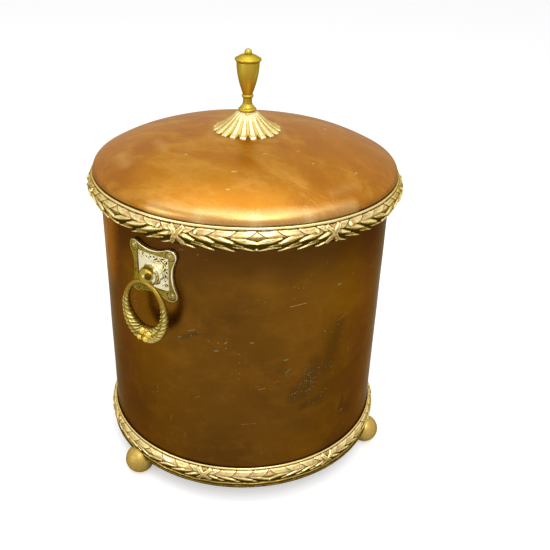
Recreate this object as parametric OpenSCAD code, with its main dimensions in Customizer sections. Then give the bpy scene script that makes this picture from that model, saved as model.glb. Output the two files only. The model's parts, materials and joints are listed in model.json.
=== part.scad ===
// Lidded coal scuttle: a copper drum and domed lid with cast brass laurel garlands,
// two laurel ring handles, an urn finial on a leaf rosette, three ball feet and a lift-out liner.
// Millimetres, Z up. The origin is on the floor, on the drum's axis; the handles are on the X axis.

/* [Drum] */
// Outside radius of the copper drum
drum_r = 147; // [135:0.5:160]
// Height of the copper drum from its base ring to the top of its rim
drum_h = 290; // [250:1:330]
// Thickness of the copper sheet of the drum and the lid
sheet = 1; // [0.8:0.1:1.4]
// Radius of the wired edge round the drum's rim
rim_wire_r = 2; // [1.5:0.1:2.5]
// Width of the brazed lap of the drum's upright seam
seam_w = 10; // [6:1:16]
// How far the seam's lap stands out of the drum
seam_t = 0.6; // [0.4:0.1:0.8]

/* [Base] */
// Thickness of the brass ring that the drum stands on
base_ring_t = 1.5; // [1.2:0.1:2.5]
// Width of the base ring inwards from the drum's outside
base_ring_w = 18; // [16:0.5:24]
// Thickness of the base plate
base_plate_t = 1.2; // [1:0.1:2]
// Height of the base plate's turned-up edge
base_plate_edge_h = 10; // [6:0.5:20]

/* [Feet] */
// Radius of the ball feet
foot_r = 15.3; // [14:0.1:17]
// Height of the flat that each ball stands on
foot_flat = 0.5; // [0.3:0.1:1]
// Height of the seat above the centre of a ball
foot_seat = 7.8; // [7:0.1:9]
// Distance of the balls from the drum's axis, beyond the drum's own radius
foot_out = 2; // [0:0.5:4]
// Bearing of the left foot about the drum's axis
foot_bearing = -104.3; // [-115:0.1:-100]
// Radius of the lug that takes the foot's screw
foot_lug_r = 7; // [6:0.1:8]
// Distance of the foot's screw inwards from the drum's outside
foot_screw_in = 10; // [9:0.5:11]
// Shank radius of the foot screws
foot_screw_r = 2.5; // [2:0.1:3]
// Head radius of the foot screws
foot_screw_head_r = 4.6; // [4:0.1:5]
// Head height of the foot screws
foot_screw_head_h = 3; // [2:0.1:4]
// Depth of the foot screws in the ball
foot_screw_depth = 11; // [8:0.5:13]

/* [Garlands] */
// Number of tied sections round each garland
sections = 7; // [6:1:8]
// Leaves in each half of a section
leaves = 4; // [3:1:4]
// Height of the lid's garland
lid_garland_h = 22; // [20:0.5:24]
// How far the lid's garland stands out
lid_garland_d = 8.7; // [6:0.1:10]
// Height of the base garland
base_garland_h = 23.7; // [22:0.1:26]
// How far the base garland stands out
base_garland_d = 7; // [5:0.1:8]
// How far the leaves stand above the swell that carries them
leaf_lift = 1.9; // [1:0.1:2.5]
// How far the leaf tips reach below the lid's garland
leaf_reach = 1.1; // [0.5:0.1:1.5]
// Bearing of a tie of the lid's garland
lid_tie_bearing = -26.7; // [-30:0.1:0]
// Bearing of a tie of the base garland
base_tie_bearing = -19.5; // [-30:0.1:0]

/* [Lid] */
// Gap between the lid's skirt and the wired rim
lid_gap = 1.8; // [1:0.1:3]
// How far the lid's edge overhangs its skirt
lid_lip = 1.7; // [1:0.1:2.5]
// Height of the lid's edge above the drum's rim
lid_lip_rise = 4.3; // [3:0.1:6]
// Height of the straight edge under the lid's shoulder
lid_edge_h = 1.8; // [1:0.1:4]
// Radius of the lid's rounded shoulder
shoulder_r = 9; // [6:0.5:12]
// Rise of the dome from the shoulder's foot to its crown
dome_rise = 33.7; // [28:0.1:40]
// Thickness of the ring inside the lid that rests on the rim
seat_t = 1.2; // [1:0.1:2]
// Depth of the seat ring's locating leg
seat_leg_h = 12; // [8:0.5:13]
// Clearance of the locating leg inside the rim
seat_clear = 0.6; // [0.4:0.1:1]

/* [Handles] */
// Distance of the centre of the handle plates below the drum's rim
plate_drop = 54.1; // [50:0.1:75]
// Half the width and height of a handle plate at its ears
plate_half = 26.5; // [25:0.1:28]
// Radius of the rounded ears of a plate
plate_ear_r = 6; // [5:0.1:7]
// How far the sides of a plate curve in
plate_dip = 4.5; // [3:0.1:5.5]
// Thickness of a plate's sunk field
plate_t = 2.4; // [2:0.1:3]
// Height of the raised frame round the field
frame_t = 1.6; // [1:0.1:2]
// Half the width of the sunk field
field_half_w = 18; // [17:0.1:18.5]
// Half the height of the sunk field
field_half_h = 17; // [16:0.1:18]
// Sideways spacing of the plate rivets
rivet_w = 41; // [40:0.1:42]
// Upright spacing of the plate rivets
rivet_h = 40; // [39:0.1:42]
// Shank radius of the plate rivets
rivet_r = 1.5; // [1:0.1:2]
// Head radius of the plate rivets
rivet_head_r = 3; // [2.5:0.1:3.3]
// Head height of the plate rivets
rivet_head_h = 1.4; // [1:0.1:2]
// Radius of the knob's ball
knob_r = 8; // [7.5:0.1:8.5]
// Distance from the drum's outside to the centre of the knob's ball
knob_out = 15; // [14.5:0.1:17]
// How far the knob sits below the middle of its plate
knob_drop = 2; // [0:0.1:3]
// Radius of the knob's foot on the plate
knob_foot_r = 10.5; // [9:0.1:12]
// Radius of the knob's stem
knob_stem_r = 5; // [4.5:0.1:5.5]
// Radius of the knob's threaded tail
knob_tail_r = 3; // [2.5:0.1:3.5]
// How far the ring's eye lies below the centre of the ball
eye_drop = 4; // [3.5:0.1:4.2]
// Radius of the ring's eye through the knob
eye_r = 2.6; // [2.5:0.05:2.8]
// Half the length of the eye's straight middle
eye_land = 2.5; // [2:0.1:3]
// Radius of the eye's bell mouth
eye_mouth_r = 4.4; // [4.2:0.1:4.6]
// Height of the upright edge of the knob's foot
knob_edge_h = 0.6; // [0.4:0.1:1]
// How far the flare of the knob's foot runs on past the near side of the ball
knob_flare_in = 3; // [2:0.5:4]
// Length of thread that shows past the nuts
thread_end = 1; // [0.5:0.1:2]
// Thickness of the washer behind a knob
knob_washer_t = 1; // [0.6:0.1:1.2]
// Radius of the washer behind a knob
knob_washer_r = 7; // [6.5:0.1:9]
// Thickness of the nut behind a knob
knob_nut_t = 3.6; // [3:0.1:4]
// Radius of the nut behind a knob at its corners
knob_nut_r = 5.5; // [5:0.1:6]

/* [Rings] */
// Radius of the ring's bar where it runs through the eye
ring_bar_r = 2; // [1.8:0.05:2.1]
// Width of the ring's opening
ring_gap_w = 37; // [35:0.5:40]
// Height of the ring's opening
ring_gap_h = 43; // [40:0.5:46]
// Radius of the wreath at the bottom of the ring
ring_end_r = 8.3; // [7:0.1:8.6]
// Share of its width that the wreath has in depth
ring_share = 0.85; // [0.8:0.01:0.95]
// Leaf pairs up each side of the ring
ring_leaves = 8; // [6:1:9]

/* [Finial] */
// Radius of the leaf rosette
rosette_r = 35; // [30:0.5:40]
// Height of the rosette above the dome
rosette_h = 16.5; // [13:0.1:20]
// Number of leaves round the rosette
rosette_leaves = 20; // [14:1:22]
// Radius of the collar on the rosette
collar_r = 9; // [8:0.1:11]
// Height of the collar
collar_h = 7.5; // [6:0.1:9]
// Radius of the urn's neck
neck_r = 4; // [3.8:0.1:4.5]
// Height of the urn's neck
neck_h = 10.5; // [8:0.5:13]
// Radius of the ring at the top of the neck
neck_ring_r = 5.9; // [5.5:0.1:7]
// Height of the urn's bowl
urn_h = 31; // [26:0.5:36]
// Radius of the urn's bowl at its mouth
urn_r = 10.9; // [10:0.1:12.5]
// Radius of the rim of the urn's cap
cap_r = 12.9; // [12.6:0.1:15]
// Height of the urn's cap to the foot of its button
cap_h = 8.6; // [7:0.1:11]
// Radius of the button on the cap
button_r = 3.6; // [3:0.1:4.5]
// Height of the button on the cap
button_h = 5.7; // [4:0.1:7]
// Radius of the spigot under the cap
spigot_r = 5; // [4:0.1:6]
// Length of the spigot under the cap
spigot_h = 4; // [3:0.5:6]
// How far the stud reaches up into the urn's bowl
stud_in = 5; // [3:0.5:8]
// Radius of the threaded stud that holds the finial
stud_r = 2.5; // [2:0.1:2.8]
// Thickness of the washer under the dome
stud_washer_t = 1.5; // [1:0.1:2.5]
// Radius of the washer under the dome
stud_washer_r = 14; // [10:0.5:18]
// Thickness of the nut under the dome
stud_nut_t = 5; // [4:0.1:6]
// Radius of the nut under the dome at its corners
stud_nut_r = 5.2; // [4.8:0.1:6]

/* [Liner] */
// Gap between the liner's wired edge and the leg of the lid's seat ring
liner_gap = 2.2; // [1:0.1:4]
// How much less the liner's radius is at its bottom than at its mouth
liner_taper = 21; // [12:0.5:30]
// Gap between the liner's rim and the drum's rim, one above the other
liner_sink = 14.1; // [13.5:0.1:20]
// Thickness of the liner's sheet
liner_sheet = 1; // [0.8:0.1:1.4]
// Radius of the wired edge of the liner
liner_wire_r = 2; // [1.5:0.1:2.2]
// Height of the hoop that the liner stands on
liner_hoop_h = 7; // [5:0.5:10]
// How far the hoop lies inwards from the liner's bottom edge
liner_hoop_in = 6; // [4:0.5:15]
// Radius of the finger holes below the liner's rim
finger_r = 13; // [11:0.5:14]
// Depth of the finger holes' centres below the liner's rim
finger_drop = 22; // [19:0.5:30]

/* [Hidden] */

round_fn = 96;
small_fn = 48;
// Clearance round a shank or between two pieces that are soldered or slipped together
fit = 0.05;
// Clearance of a hole round a screw or stud
hole_clear = 0.2;
// Gap of the lid's seat above the rim
lid_rest = 0.3;
// Overrun of a cutting tool past the face that it cuts
over = 1;

// Levels above the floor
foot_z = foot_r - foot_flat;
base_z = foot_z + foot_seat;
drum_z = base_z + base_ring_t;
floor_z = drum_z + base_plate_t;
rim_z = drum_z + drum_h;
lip_z = rim_z + lid_lip_rise;
edge_z = lip_z + lid_edge_h;
seat_z = rim_z + lid_rest;
liner_rim_z = rim_z - liner_sink;
plate_z = rim_z - plate_drop;

// Radii of the lid, outwards from the drum
rim_r = drum_r - sheet / 2;
skirt_in_r = rim_r + rim_wire_r + lid_gap;
skirt_r = skirt_in_r + sheet;
dome_r = skirt_r + lid_lip;
garland_r = skirt_r + fit;
seat_leg_r = rim_r - rim_wire_r - seat_clear;

// Outside radii of the liner, at its mouth, its bottom and its hoop
liner_top_r = seat_leg_r - seat_t - liner_gap - liner_wire_r + liner_sheet / 2;
liner_foot_r = liner_top_r - liner_taper;
liner_hoop_r = liner_foot_r - liner_hoop_in;

// The dome: a shoulder arc, then a crown that flattens towards the middle
shoulder_turn = 62;
shoulder_x = dome_r - shoulder_r;
crown_r = shoulder_x + shoulder_r * cos(shoulder_turn);
crown_foot_z = edge_z + shoulder_r * sin(shoulder_turn);
dome_z = edge_z + dome_rise;
function dome_at(r) =
    let (t = r / crown_r)
    dome_z - (dome_z - crown_foot_z) * (0.3 * t * t + 0.7 * pow(t, 4));

// Handles
knob_z = plate_z - knob_drop;
knob_x = drum_r + knob_out;
eye_z = knob_z - eye_drop;
field_r = drum_r + plate_t;
ring_side_r = (ring_bar_r + ring_end_r) / 2;
ring_half_w = ring_gap_w / 2 + ring_side_r;
ring_half_h = (ring_bar_r + ring_gap_h + ring_end_r) / 2;

// A flat washer lies inside the round drum: its edges touch first, and its middle stands off
drum_in_r = drum_r - sheet;
washer_lift = drum_in_r - sqrt(drum_in_r * drum_in_r - knob_washer_r * knob_washer_r) + fit;

// Feet: three, evenly spaced
foot_ring_r = drum_r + foot_out;
foot_screw_x = drum_r - foot_screw_in;

// Finial levels
rosette_top_z = dome_z + rosette_h;
collar_top_z = rosette_top_z + collar_h;
bowl_z = collar_top_z + neck_h;
mouth_z = bowl_z + urn_h;
stud_hole_r = stud_r + hole_clear;
stud_top_z = bowl_z + stud_in;
stud_washer_top_z = dome_at(stud_washer_r) - sheet - fit;
stud_foot_z = stud_washer_top_z - stud_washer_t - stud_nut_t - thread_end;

// Skin of a solid whose surface closes both round and across, from columns of points
module closed_skin(columns) {
    n = len(columns);
    m = len(columns[0]);
    polyhedron(
        points = [for (column = columns) each column],
        faces = [
            for (i = [0 : n - 1], j = [0 : m - 1])
                let (
                    a = i * m + j,
                    b = i * m + (j + 1) % m,
                    c = ((i + 1) % n) * m + (j + 1) % m,
                    d = ((i + 1) % n) * m + j
                )
                each [[a, b, c], [a, c, d]]
        ]
    );
}

// A garland's stops over half a section: [way from the tie, middle lift, outer lift, reach]
leaf_start = 0.09;
leaf_pitch = (0.87 - leaf_start) / leaves;
tie_stop = [0, 1, 0.1, 0];
tie_end_stop = [0.06, 0.2, 0.9, 0.9];
meet_stop = [1, 1, 0.1, 0];
leaf_stops = [
    for (k = [0 : leaves - 1])
        let (s = leaf_start + k * leaf_pitch)
        each [
            [s, 0.1, 0.1, 0],
            [s + 0.42 * leaf_pitch, 0.85, 0.85, 0.3],
            [s + 0.85 * leaf_pitch, 1, 1, 1]
        ]
];
half_stops = concat([tie_end_stop], leaf_stops);
section_stops = concat(
    [tie_stop], half_stops, [meet_stop],
    [for (k = [len(half_stops) - 1 : -1 : 0])
        let (s = half_stops[k])
        [2 - s[0], s[1], s[2], s[3]]]
);

// Widest step between stops, as a share of half a section
widest_step = max([
    for (i = [0 : len(section_stops) - 1])
        (i + 1 < len(section_stops) ? section_stops[i + 1][0] : 2) - section_stops[i][0]
]);

// Rows up a garland's face: [height, stand-out, lift that it takes, sideways shift of its leaves]
// The lift is 0 for none, 1 for the middle leaves and 2 for the outer leaves.
lid_rows = [
    [0.00, 0.14, 0, 0.05], [0.13, 0.42, 2, 0.05], [0.27, 0.60, 0, 0.03],
    [0.42, 0.78, 1, 0.00], [0.57, 0.72, 0, 0.03], [0.71, 0.62, 2, 0.05],
    [0.84, 0.34, 0, 0.00], [0.89, 0.28, 0, 0.00], [0.95, 0.41, 0, 0.00],
    [1.00, 0.30, 0, 0.00]
];
base_rows = [
    [0.00, 0.59, 0, 0.00], [0.20, 0.56, 0, 0.00], [0.26, 0.28, 0, 0.00],
    [0.38, 0.50, 2, 0.05], [0.49, 0.58, 0, 0.03], [0.61, 0.76, 1, 0.00],
    [0.74, 0.56, 0, 0.03], [0.85, 0.34, 2, 0.05], [0.94, 0.16, 0, 0.00],
    [1.00, 0.15, 0, 0.00]
];

// Cast garland: leaves run both ways from each crossed tie and meet halfway.
// The flats of its back clear the round wall that it is fixed to.
module garland(rows, inner_r, z, h, d, lift, reach, bearing) {
    half = 180 / sections;
    back_r = inner_r / cos(half * widest_step / 2);
    closed_skin([
        for (k = [0 : sections - 1], stop = section_stops)
            concat(
                [for (row = rows)
                    let (
                        shift = row[3] * sin(180 * stop[0]),
                        turn = bearing - 90 + half * (2 * k + stop[0] + shift),
                        up = z + h * row[0] - (row[0] == 0 ? reach * stop[3] : 0),
                        r = inner_r + d * row[1] + lift * (row[2] == 0 ? 0 : stop[row[2]])
                    )
                    [r * cos(turn), r * sin(turn), up]],
                [for (up = [z + h, z])
                    let (turn = bearing - 90 + half * (2 * k + stop[0]))
                    [back_r * cos(turn), back_r * sin(turn), up]]
            )
    ]);
}

module drum_profile() {
    translate([drum_r - sheet, drum_z]) square([sheet, drum_h - rim_wire_r]);
    translate([rim_r, rim_z - rim_wire_r]) circle(r = rim_wire_r, $fn = small_fn);
}

// The upright seam is a brazed lap behind the drum, between the two garlands
module seam() {
    seam_bearing = 60;
    z = base_z + base_garland_h + over;
    top = rim_z - lid_garland_h - 2 * over;
    rotate([0, 0, seam_bearing])
        intersection() {
            difference() {
                translate([0, 0, z]) cylinder(r = drum_r + seam_t, h = top - z, $fn = round_fn);
                translate([0, 0, z - over])
                    cylinder(r = drum_r - sheet / 2, h = top - z + 2 * over, $fn = round_fn);
            }
            translate([0, -seam_w / 2, z]) cube([drum_r + 2 * seam_t, seam_w, top - z]);
        }
}

// Radial rods for the shanks that pass through the drum and a plate, at the four rivets
module at_rivets() {
    swing = asin(rivet_w / 2 / drum_r);
    for (side = [-1, 1], up = [-1, 1])
        rotate([0, 0, side * swing])
            translate([drum_r, 0, plate_z + up * rivet_h / 2])
                rotate([0, 90, 0])
                    children();
}

module plate_holes() {
    at_rivets()
        translate([0, 0, -4 * sheet])
            cylinder(r = rivet_r + fit, h = 4 * sheet + plate_t + frame_t + 2 * over, $fn = small_fn);
    translate([drum_r - 4 * sheet, 0, knob_z])
        rotate([0, 90, 0])
            cylinder(r = knob_tail_r + fit, h = 4 * sheet + plate_t + frame_t + 2 * over,
                $fn = small_fn);
}

module drum_shell() {
    color("saddlebrown")
        difference() {
            union() {
                rotate_extrude($fn = round_fn) drum_profile();
                seam();
            }
            for (turn = [0, 180])
                rotate([0, 0, turn]) plate_holes();
        }
}

module at_feet() {
    for (k = [0 : 2])
        rotate([0, 0, foot_bearing - 90 + 120 * k]) children();
}

module base_ring() {
    color("darkgoldenrod")
        difference() {
            translate([0, 0, base_z]) cylinder(r = drum_r, h = base_ring_t, $fn = round_fn);
            translate([0, 0, base_z - over])
                cylinder(r = drum_r - base_ring_w, h = base_ring_t + 2 * over, $fn = round_fn);
            at_feet()
                translate([foot_screw_x, 0, base_z - over])
                    cylinder(r = foot_screw_r + hole_clear, h = base_ring_t + 2 * over,
                        $fn = small_fn);
        }
}

module base_plate() {
    r = drum_r - sheet - fit;
    color("sienna")
        difference() {
            translate([0, 0, drum_z]) cylinder(r = r, h = base_plate_edge_h, $fn = round_fn);
            translate([0, 0, floor_z])
                cylinder(r = r - base_plate_t, h = base_plate_edge_h, $fn = round_fn);
            at_feet()
                translate([foot_screw_x, 0, drum_z - over])
                    cylinder(r = foot_screw_r + hole_clear, h = base_plate_t + 2 * over,
                        $fn = small_fn);
        }
}

module base_garland() {
    color("goldenrod")
        garland(base_rows, drum_r + fit, base_z, base_garland_h, base_garland_d,
            0.75 * leaf_lift, 0, base_tie_bearing);
}

// A ball foot: its outer half rises outside the garland, its inner half is notched under the drum
module ball_foot(index) {
    notch_r = drum_r + fit + 0.6 * base_garland_d + fit;
    color("goldenrod")
        rotate([0, 0, foot_bearing - 90 + 120 * index])
            difference() {
                union() {
                    translate([foot_ring_r, 0, foot_z]) sphere(r = foot_r, $fn = round_fn);
                    translate([foot_screw_x, 0, foot_z - foot_r / 4])
                        cylinder(r = foot_lug_r, h = foot_seat + foot_r / 4, $fn = small_fn);
                }
                translate([0, 0, base_z]) cylinder(r = notch_r, h = 2 * foot_r, $fn = round_fn);
                translate([foot_ring_r, 0, -foot_r]) cylinder(r = foot_r, h = foot_r, $fn = small_fn);
                translate([foot_screw_x, 0, base_z - foot_screw_depth - over])
                    cylinder(r = foot_screw_r + fit, h = foot_screw_depth + 2 * over,
                        $fn = small_fn);
            }
}

// A round-headed screw or rivet end: a low dome on a flat, from its foot at the origin
module round_head(r, h) {
    dome_radius = (r * r + h * h) / (2 * h);
    intersection() {
        translate([0, 0, h - dome_radius]) sphere(r = dome_radius, $fn = small_fn);
        cylinder(r = r, h = h, $fn = small_fn);
    }
}

module foot_screws() {
    color("darkkhaki")
        at_feet()
            translate([foot_screw_x, 0, floor_z]) {
                round_head(foot_screw_head_r, foot_screw_head_h);
                translate([0, 0, base_z - foot_screw_depth - floor_z])
                    cylinder(r = foot_screw_r, h = floor_z - base_z + foot_screw_depth,
                        $fn = small_fn);
            }
}

// The liner is a tapered bucket that stands on its hoop and lifts out by two finger holes
module liner() {
    bottom_z = floor_z + liner_hoop_h;
    wall_top_z = liner_rim_z - liner_wire_r;
    color("lightslategray")
        difference() {
            rotate_extrude($fn = round_fn) {
                polygon([
                    [0, bottom_z - liner_sheet],
                    [liner_foot_r, bottom_z - liner_sheet],
                    [liner_top_r, wall_top_z],
                    [liner_top_r - liner_sheet, wall_top_z],
                    [liner_foot_r - liner_sheet, bottom_z],
                    [0, bottom_z]
                ]);
                translate([liner_top_r - liner_sheet / 2, wall_top_z])
                    circle(r = liner_wire_r, $fn = small_fn);
                translate([liner_hoop_r - liner_sheet, floor_z])
                    square([liner_sheet, liner_hoop_h - liner_sheet / 2]);
            }
            translate([0, 0, liner_rim_z - finger_drop])
                rotate([90, 0, 0])
                    cylinder(r = finger_r, h = 3 * liner_top_r, center = true, $fn = small_fn);
        }
}

// The plate's outline: a rounded square whose sides curve in between its ears
module plate_outline() {
    chord = plate_half - 1.5 * plate_ear_r;
    dip_r = (chord * chord + plate_dip * plate_dip) / (2 * plate_dip);
    ear = plate_half - plate_ear_r;
    difference() {
        union() {
            square(2 * [plate_half, ear], center = true);
            square(2 * [ear, plate_half], center = true);
            for (x = [-ear, ear], y = [-ear, ear])
                translate([x, y]) circle(r = plate_ear_r, $fn = small_fn);
        }
        for (turn = [0 : 90 : 270])
            rotate(turn)
                translate([plate_half - plate_dip + dip_r, 0]) circle(r = dip_r, $fn = round_fn);
    }
}

// An outline in the plate's own plane, stood up and carried through the drum's side both ways
module stand_up() {
    depth = 3 * (plate_t + frame_t);
    translate([drum_r - depth, 0, plate_z])
        rotate([90, 0, 90])
            linear_extrude(height = 2 * depth) children();
}

module handle_plate(turn) {
    color("darkkhaki")
        rotate([0, 0, turn])
            difference() {
                intersection() {
                    stand_up() plate_outline();
                    translate([0, 0, plate_z - 2 * plate_half])
                        cylinder(r = field_r + frame_t, h = 4 * plate_half, $fn = round_fn);
                }
                translate([0, 0, plate_z - 2 * plate_half])
                    cylinder(r = drum_r + fit, h = 4 * plate_half, $fn = round_fn);
                intersection() {
                    stand_up() square(2 * [field_half_w, field_half_h], center = true);
                    difference() {
                        translate([0, 0, plate_z - 2 * plate_half])
                            cylinder(r = field_r + 2 * frame_t, h = 4 * plate_half, $fn = round_fn);
                        translate([0, 0, plate_z - 2 * plate_half])
                            cylinder(r = field_r, h = 4 * plate_half, $fn = round_fn);
                    }
                }
                plate_holes();
            }
}

module plate_rivets(turn) {
    head_z = plate_t + frame_t;
    color("goldenrod")
        rotate([0, 0, turn])
            at_rivets() {
                translate([0, 0, head_z]) round_head(rivet_head_r, rivet_head_h);
                translate([0, 0, -sheet]) cylinder(r = rivet_r, h = sheet + head_z, $fn = small_fn);
                translate([0, 0, -sheet]) rotate([180, 0, 0]) round_head(rivet_head_r, rivet_head_h);
            }
}

// A knob: spreading foot on the plate, stem, ball with the ring's bell-mouthed eye, threaded tail
module knob(turn) {
    foot_x = field_r + fit;
    foot_h = knob_x - knob_r - foot_x + knob_flare_in;
    tail = foot_x - drum_r + sheet + knob_washer_t + knob_nut_t + thread_end;
    color("goldenrod")
        rotate([0, 0, turn])
            difference() {
                union() {
                    translate([foot_x, 0, knob_z])
                        rotate([0, 90, 0])
                            rotate_extrude($fn = small_fn)
                                knob_profile(foot_h, knob_x - foot_x, tail);
                    translate([knob_x, 0, knob_z]) sphere(r = knob_r, $fn = round_fn);
                }
                translate([knob_x, 0, eye_z])
                    rotate([90, 0, 0]) {
                        cylinder(r = eye_r, h = 4 * knob_r, center = true, $fn = small_fn);
                        for (way = [0, 180])
                            rotate([way, 0, 0])
                                translate([0, 0, eye_land])
                                    cylinder(r1 = eye_r, r2 = eye_mouth_r, h = knob_r - eye_land,
                                        $fn = small_fn);
                    }
            }
}

module knob_profile(foot_h, length, tail) {
    steps = 8;
    polygon(concat(
        [[0, -tail], [knob_tail_r, -tail], [knob_tail_r, 0], [knob_foot_r, 0], [knob_foot_r, knob_edge_h]],
        [for (k = [0 : steps])
            let (a = 90 * k / steps)
            [knob_stem_r + (knob_foot_r - knob_stem_r) * (1 - sin(a)),
                knob_edge_h + foot_h * (1 - cos(a))]],
        [[knob_stem_r, length], [0, length]]
    ));
}

module knob_washer(turn) {
    color("darkkhaki")
        rotate([0, 0, turn])
            translate([drum_r - sheet - knob_washer_t - washer_lift, 0, knob_z])
                rotate([0, 90, 0])
                    difference() {
                        cylinder(r = knob_washer_r, h = knob_washer_t, $fn = small_fn);
                        translate([0, 0, -over])
                            cylinder(r = knob_tail_r + hole_clear, h = knob_washer_t + 2 * over,
                                $fn = small_fn);
                    }
}

module knob_nut(turn) {
    color("darkkhaki")
        rotate([0, 0, turn])
            translate([drum_r - sheet - knob_washer_t - washer_lift - knob_nut_t, 0, knob_z])
                rotate([0, 90, 0])
                    difference() {
                        cylinder(r = knob_nut_r, h = knob_nut_t, $fn = 6);
                        translate([0, 0, -over])
                            cylinder(r = knob_tail_r + fit, h = knob_nut_t + 2 * over,
                                $fn = small_fn);
                    }
}

// A laurel ring: a thin bar through the eye swells into two sprays that meet at the bottom.
// Each leaf rises from its foot to its tip, and every other lane round the wreath is half a leaf on.
module laurel_ring(turn) {
    half_steps = 3 * ring_leaves;
    lanes = 12;
    color("goldenrod")
        rotate([0, 0, turn])
            closed_skin([
                for (i = [0 : 2 * half_steps - 1])
                    let (
                        a = 180 * i / half_steps,
                        side = i <= half_steps ? i : 2 * half_steps - i,
                        body_r = ring_bar_r + (ring_end_r - ring_bar_r) * (1 - cos(a)) / 2,
                        y = ring_half_w * sin(a),
                        z = eye_z - ring_half_h * (1 - cos(a)),
                        tilt = atan2(ring_half_h * sin(a), ring_half_w * cos(a))
                    )
                    [for (j = [0 : lanes - 1])
                        let (
                            lane = (side + (j % 2 == 0 ? 0 : 1.5)) % 3,
                            rise = side > 4 && side < half_steps - 1 ? 0.16 * (lane / 2 - 0.5) : 0,
                            r = body_r * (1 + rise),
                            b = 360 * j / lanes
                        )
                        [
                            knob_x + ring_depth_at(body_r) * r * sin(b),
                            y + r * cos(b) * sin(tilt),
                            z + r * cos(b) * cos(tilt)
                        ]]
            ]);
}

// The bar is round in its eye, and the wreath is shallower than it is wide
function ring_depth_at(r) = 1 - (1 - ring_share) * (r - ring_bar_r) / (ring_end_r - ring_bar_r);

// Half-outline of the dome: turned-in lip, straight edge, shoulder and crown, then back inside
module dome_profile() {
    steps = 20;
    turns = 8;
    inner = shoulder_r - sheet;
    polygon(concat(
        [[skirt_in_r, lip_z], [dome_r, lip_z]],
        [for (k = [0 : turns])
            let (a = shoulder_turn * k / turns)
            [shoulder_x + shoulder_r * cos(a), edge_z + shoulder_r * sin(a)]],
        [for (k = [1 : steps])
            let (r = crown_r - (crown_r - stud_hole_r) * k / steps)
            [r, dome_at(r)]],
        [for (k = [steps : -1 : 1])
            let (r = crown_r - (crown_r - stud_hole_r) * k / steps)
            [r, dome_at(r) - sheet]],
        [for (k = [turns : -1 : 0])
            let (a = shoulder_turn * k / turns)
            [shoulder_x + inner * cos(a), edge_z + inner * sin(a)]],
        [[dome_r - sheet, lip_z + sheet], [skirt_in_r, lip_z + sheet]]
    ));
}

module lid_dome() {
    color("chocolate") rotate_extrude($fn = round_fn) dome_profile();
}

module lid_garland() {
    color("goldenrod")
        garland(lid_rows, garland_r, lip_z - lid_garland_h, lid_garland_h - fit, lid_garland_d,
            leaf_lift, leaf_reach, lid_tie_bearing);
}

// The ring under the dome: its skirt carries the garland, its seat rests on the wired rim,
// and its leg keeps the lid central
module lid_seat_ring() {
    skirt_z = lip_z - lid_garland_h;
    color("peru")
        rotate_extrude($fn = round_fn) {
            translate([skirt_in_r, skirt_z]) square([sheet, lid_garland_h - fit]);
            translate([seat_leg_r - seat_t, seat_z])
                square([skirt_r - seat_leg_r + seat_t - sheet / 2, seat_t]);
            translate([seat_leg_r - seat_t, seat_z - seat_leg_h])
                square([seat_t, seat_leg_h + seat_t]);
        }
}

// A rosette of pointed leaves: ribs stand up, and the tips reach past the valleys between them
module finial_rosette() {
    rows = 6;
    spread = rosette_r - collar_r - 1;
    color("palegoldenrod")
        closed_skin([
            for (leaf = [0 : rosette_leaves - 1], part = [0 : 3])
                let (
                    turn = 360 * (leaf + part / 4) / rosette_leaves,
                    rib = part == 2 ? 1 : part == 0 ? -1 : 0.3
                )
                concat(
                    [for (k = [0 : rows])
                        let (
                            s = k / rows,
                            r = rosette_r - (k == 0 ? 2 * (1 - rib) : 0) - spread * s,
                            swell = sin(180 * min(1, s * 1.1)),
                            up = dome_at(r) + 0.8 + (rosette_h - 0.8) * pow(s, 1.5)
                        )
                        [r * cos(turn), r * sin(turn), up + 1.2 * rib * swell]],
                    [[stud_hole_r * cos(turn), stud_hole_r * sin(turn), rosette_top_z]],
                    [[stud_hole_r * cos(turn), stud_hole_r * sin(turn), dome_at(0) + fit]],
                    [for (r = [rosette_r / 2, rosette_r - 2 * (1 - rib)])
                        [r * cos(turn), r * sin(turn), dome_at(r) + fit]]
                )
        ]);
}

module finial_collar() {
    steps = 8;
    edge = collar_h / 2;
    color("darkgoldenrod")
        translate([0, 0, rosette_top_z + fit])
            rotate_extrude($fn = small_fn)
                polygon(concat(
                    [[stud_hole_r, 0], [collar_r - 1, 0]],
                    [for (k = [0 : steps])
                        let (a = -60 + 120 * k / steps)
                        [collar_r - edge / 2 + edge / 2 * cos(a), edge / 2 * (1 + sin(a))]],
                    [[neck_r + 1, collar_h - 1], [neck_r + 1, collar_h - fit],
                        [stud_hole_r, collar_h - fit]]
                ));
}

// The urn: neck with a ring, a bowl that swells to its mouth, a blind hole for the stud below
// and a socket for the cap's spigot above
module finial_urn() {
    steps = 14;
    ring_z = neck_h - 1.6;
    color("goldenrod")
        translate([0, 0, collar_top_z])
            difference() {
                rotate_extrude($fn = small_fn)
                    polygon(concat(
                        [[0, 0], [neck_r, 0], [neck_r, ring_z - 2.2]],
                        [for (k = [0 : 6])
                            let (a = -75 + 150 * k / 6)
                            [neck_ring_r - 1.6 + 1.6 * cos(a), ring_z + 1.6 * sin(a)]],
                        [for (k = [0 : steps])
                            let (s = k / steps)
                            [neck_ring_r - 1.4 + (urn_r - neck_ring_r + 1.4) * sin(90 * pow(s, 0.8)),
                                neck_h + urn_h * s]],
                        [[0, neck_h + urn_h]]
                    ));
                translate([0, 0, -over])
                    cylinder(r = stud_r + fit, h = stud_top_z - collar_top_z + 2 * over,
                        $fn = small_fn);
                translate([0, 0, neck_h + urn_h - spigot_h - over])
                    cylinder(r = spigot_r + fit, h = spigot_h + 2 * over, $fn = small_fn);
            }
}

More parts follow.
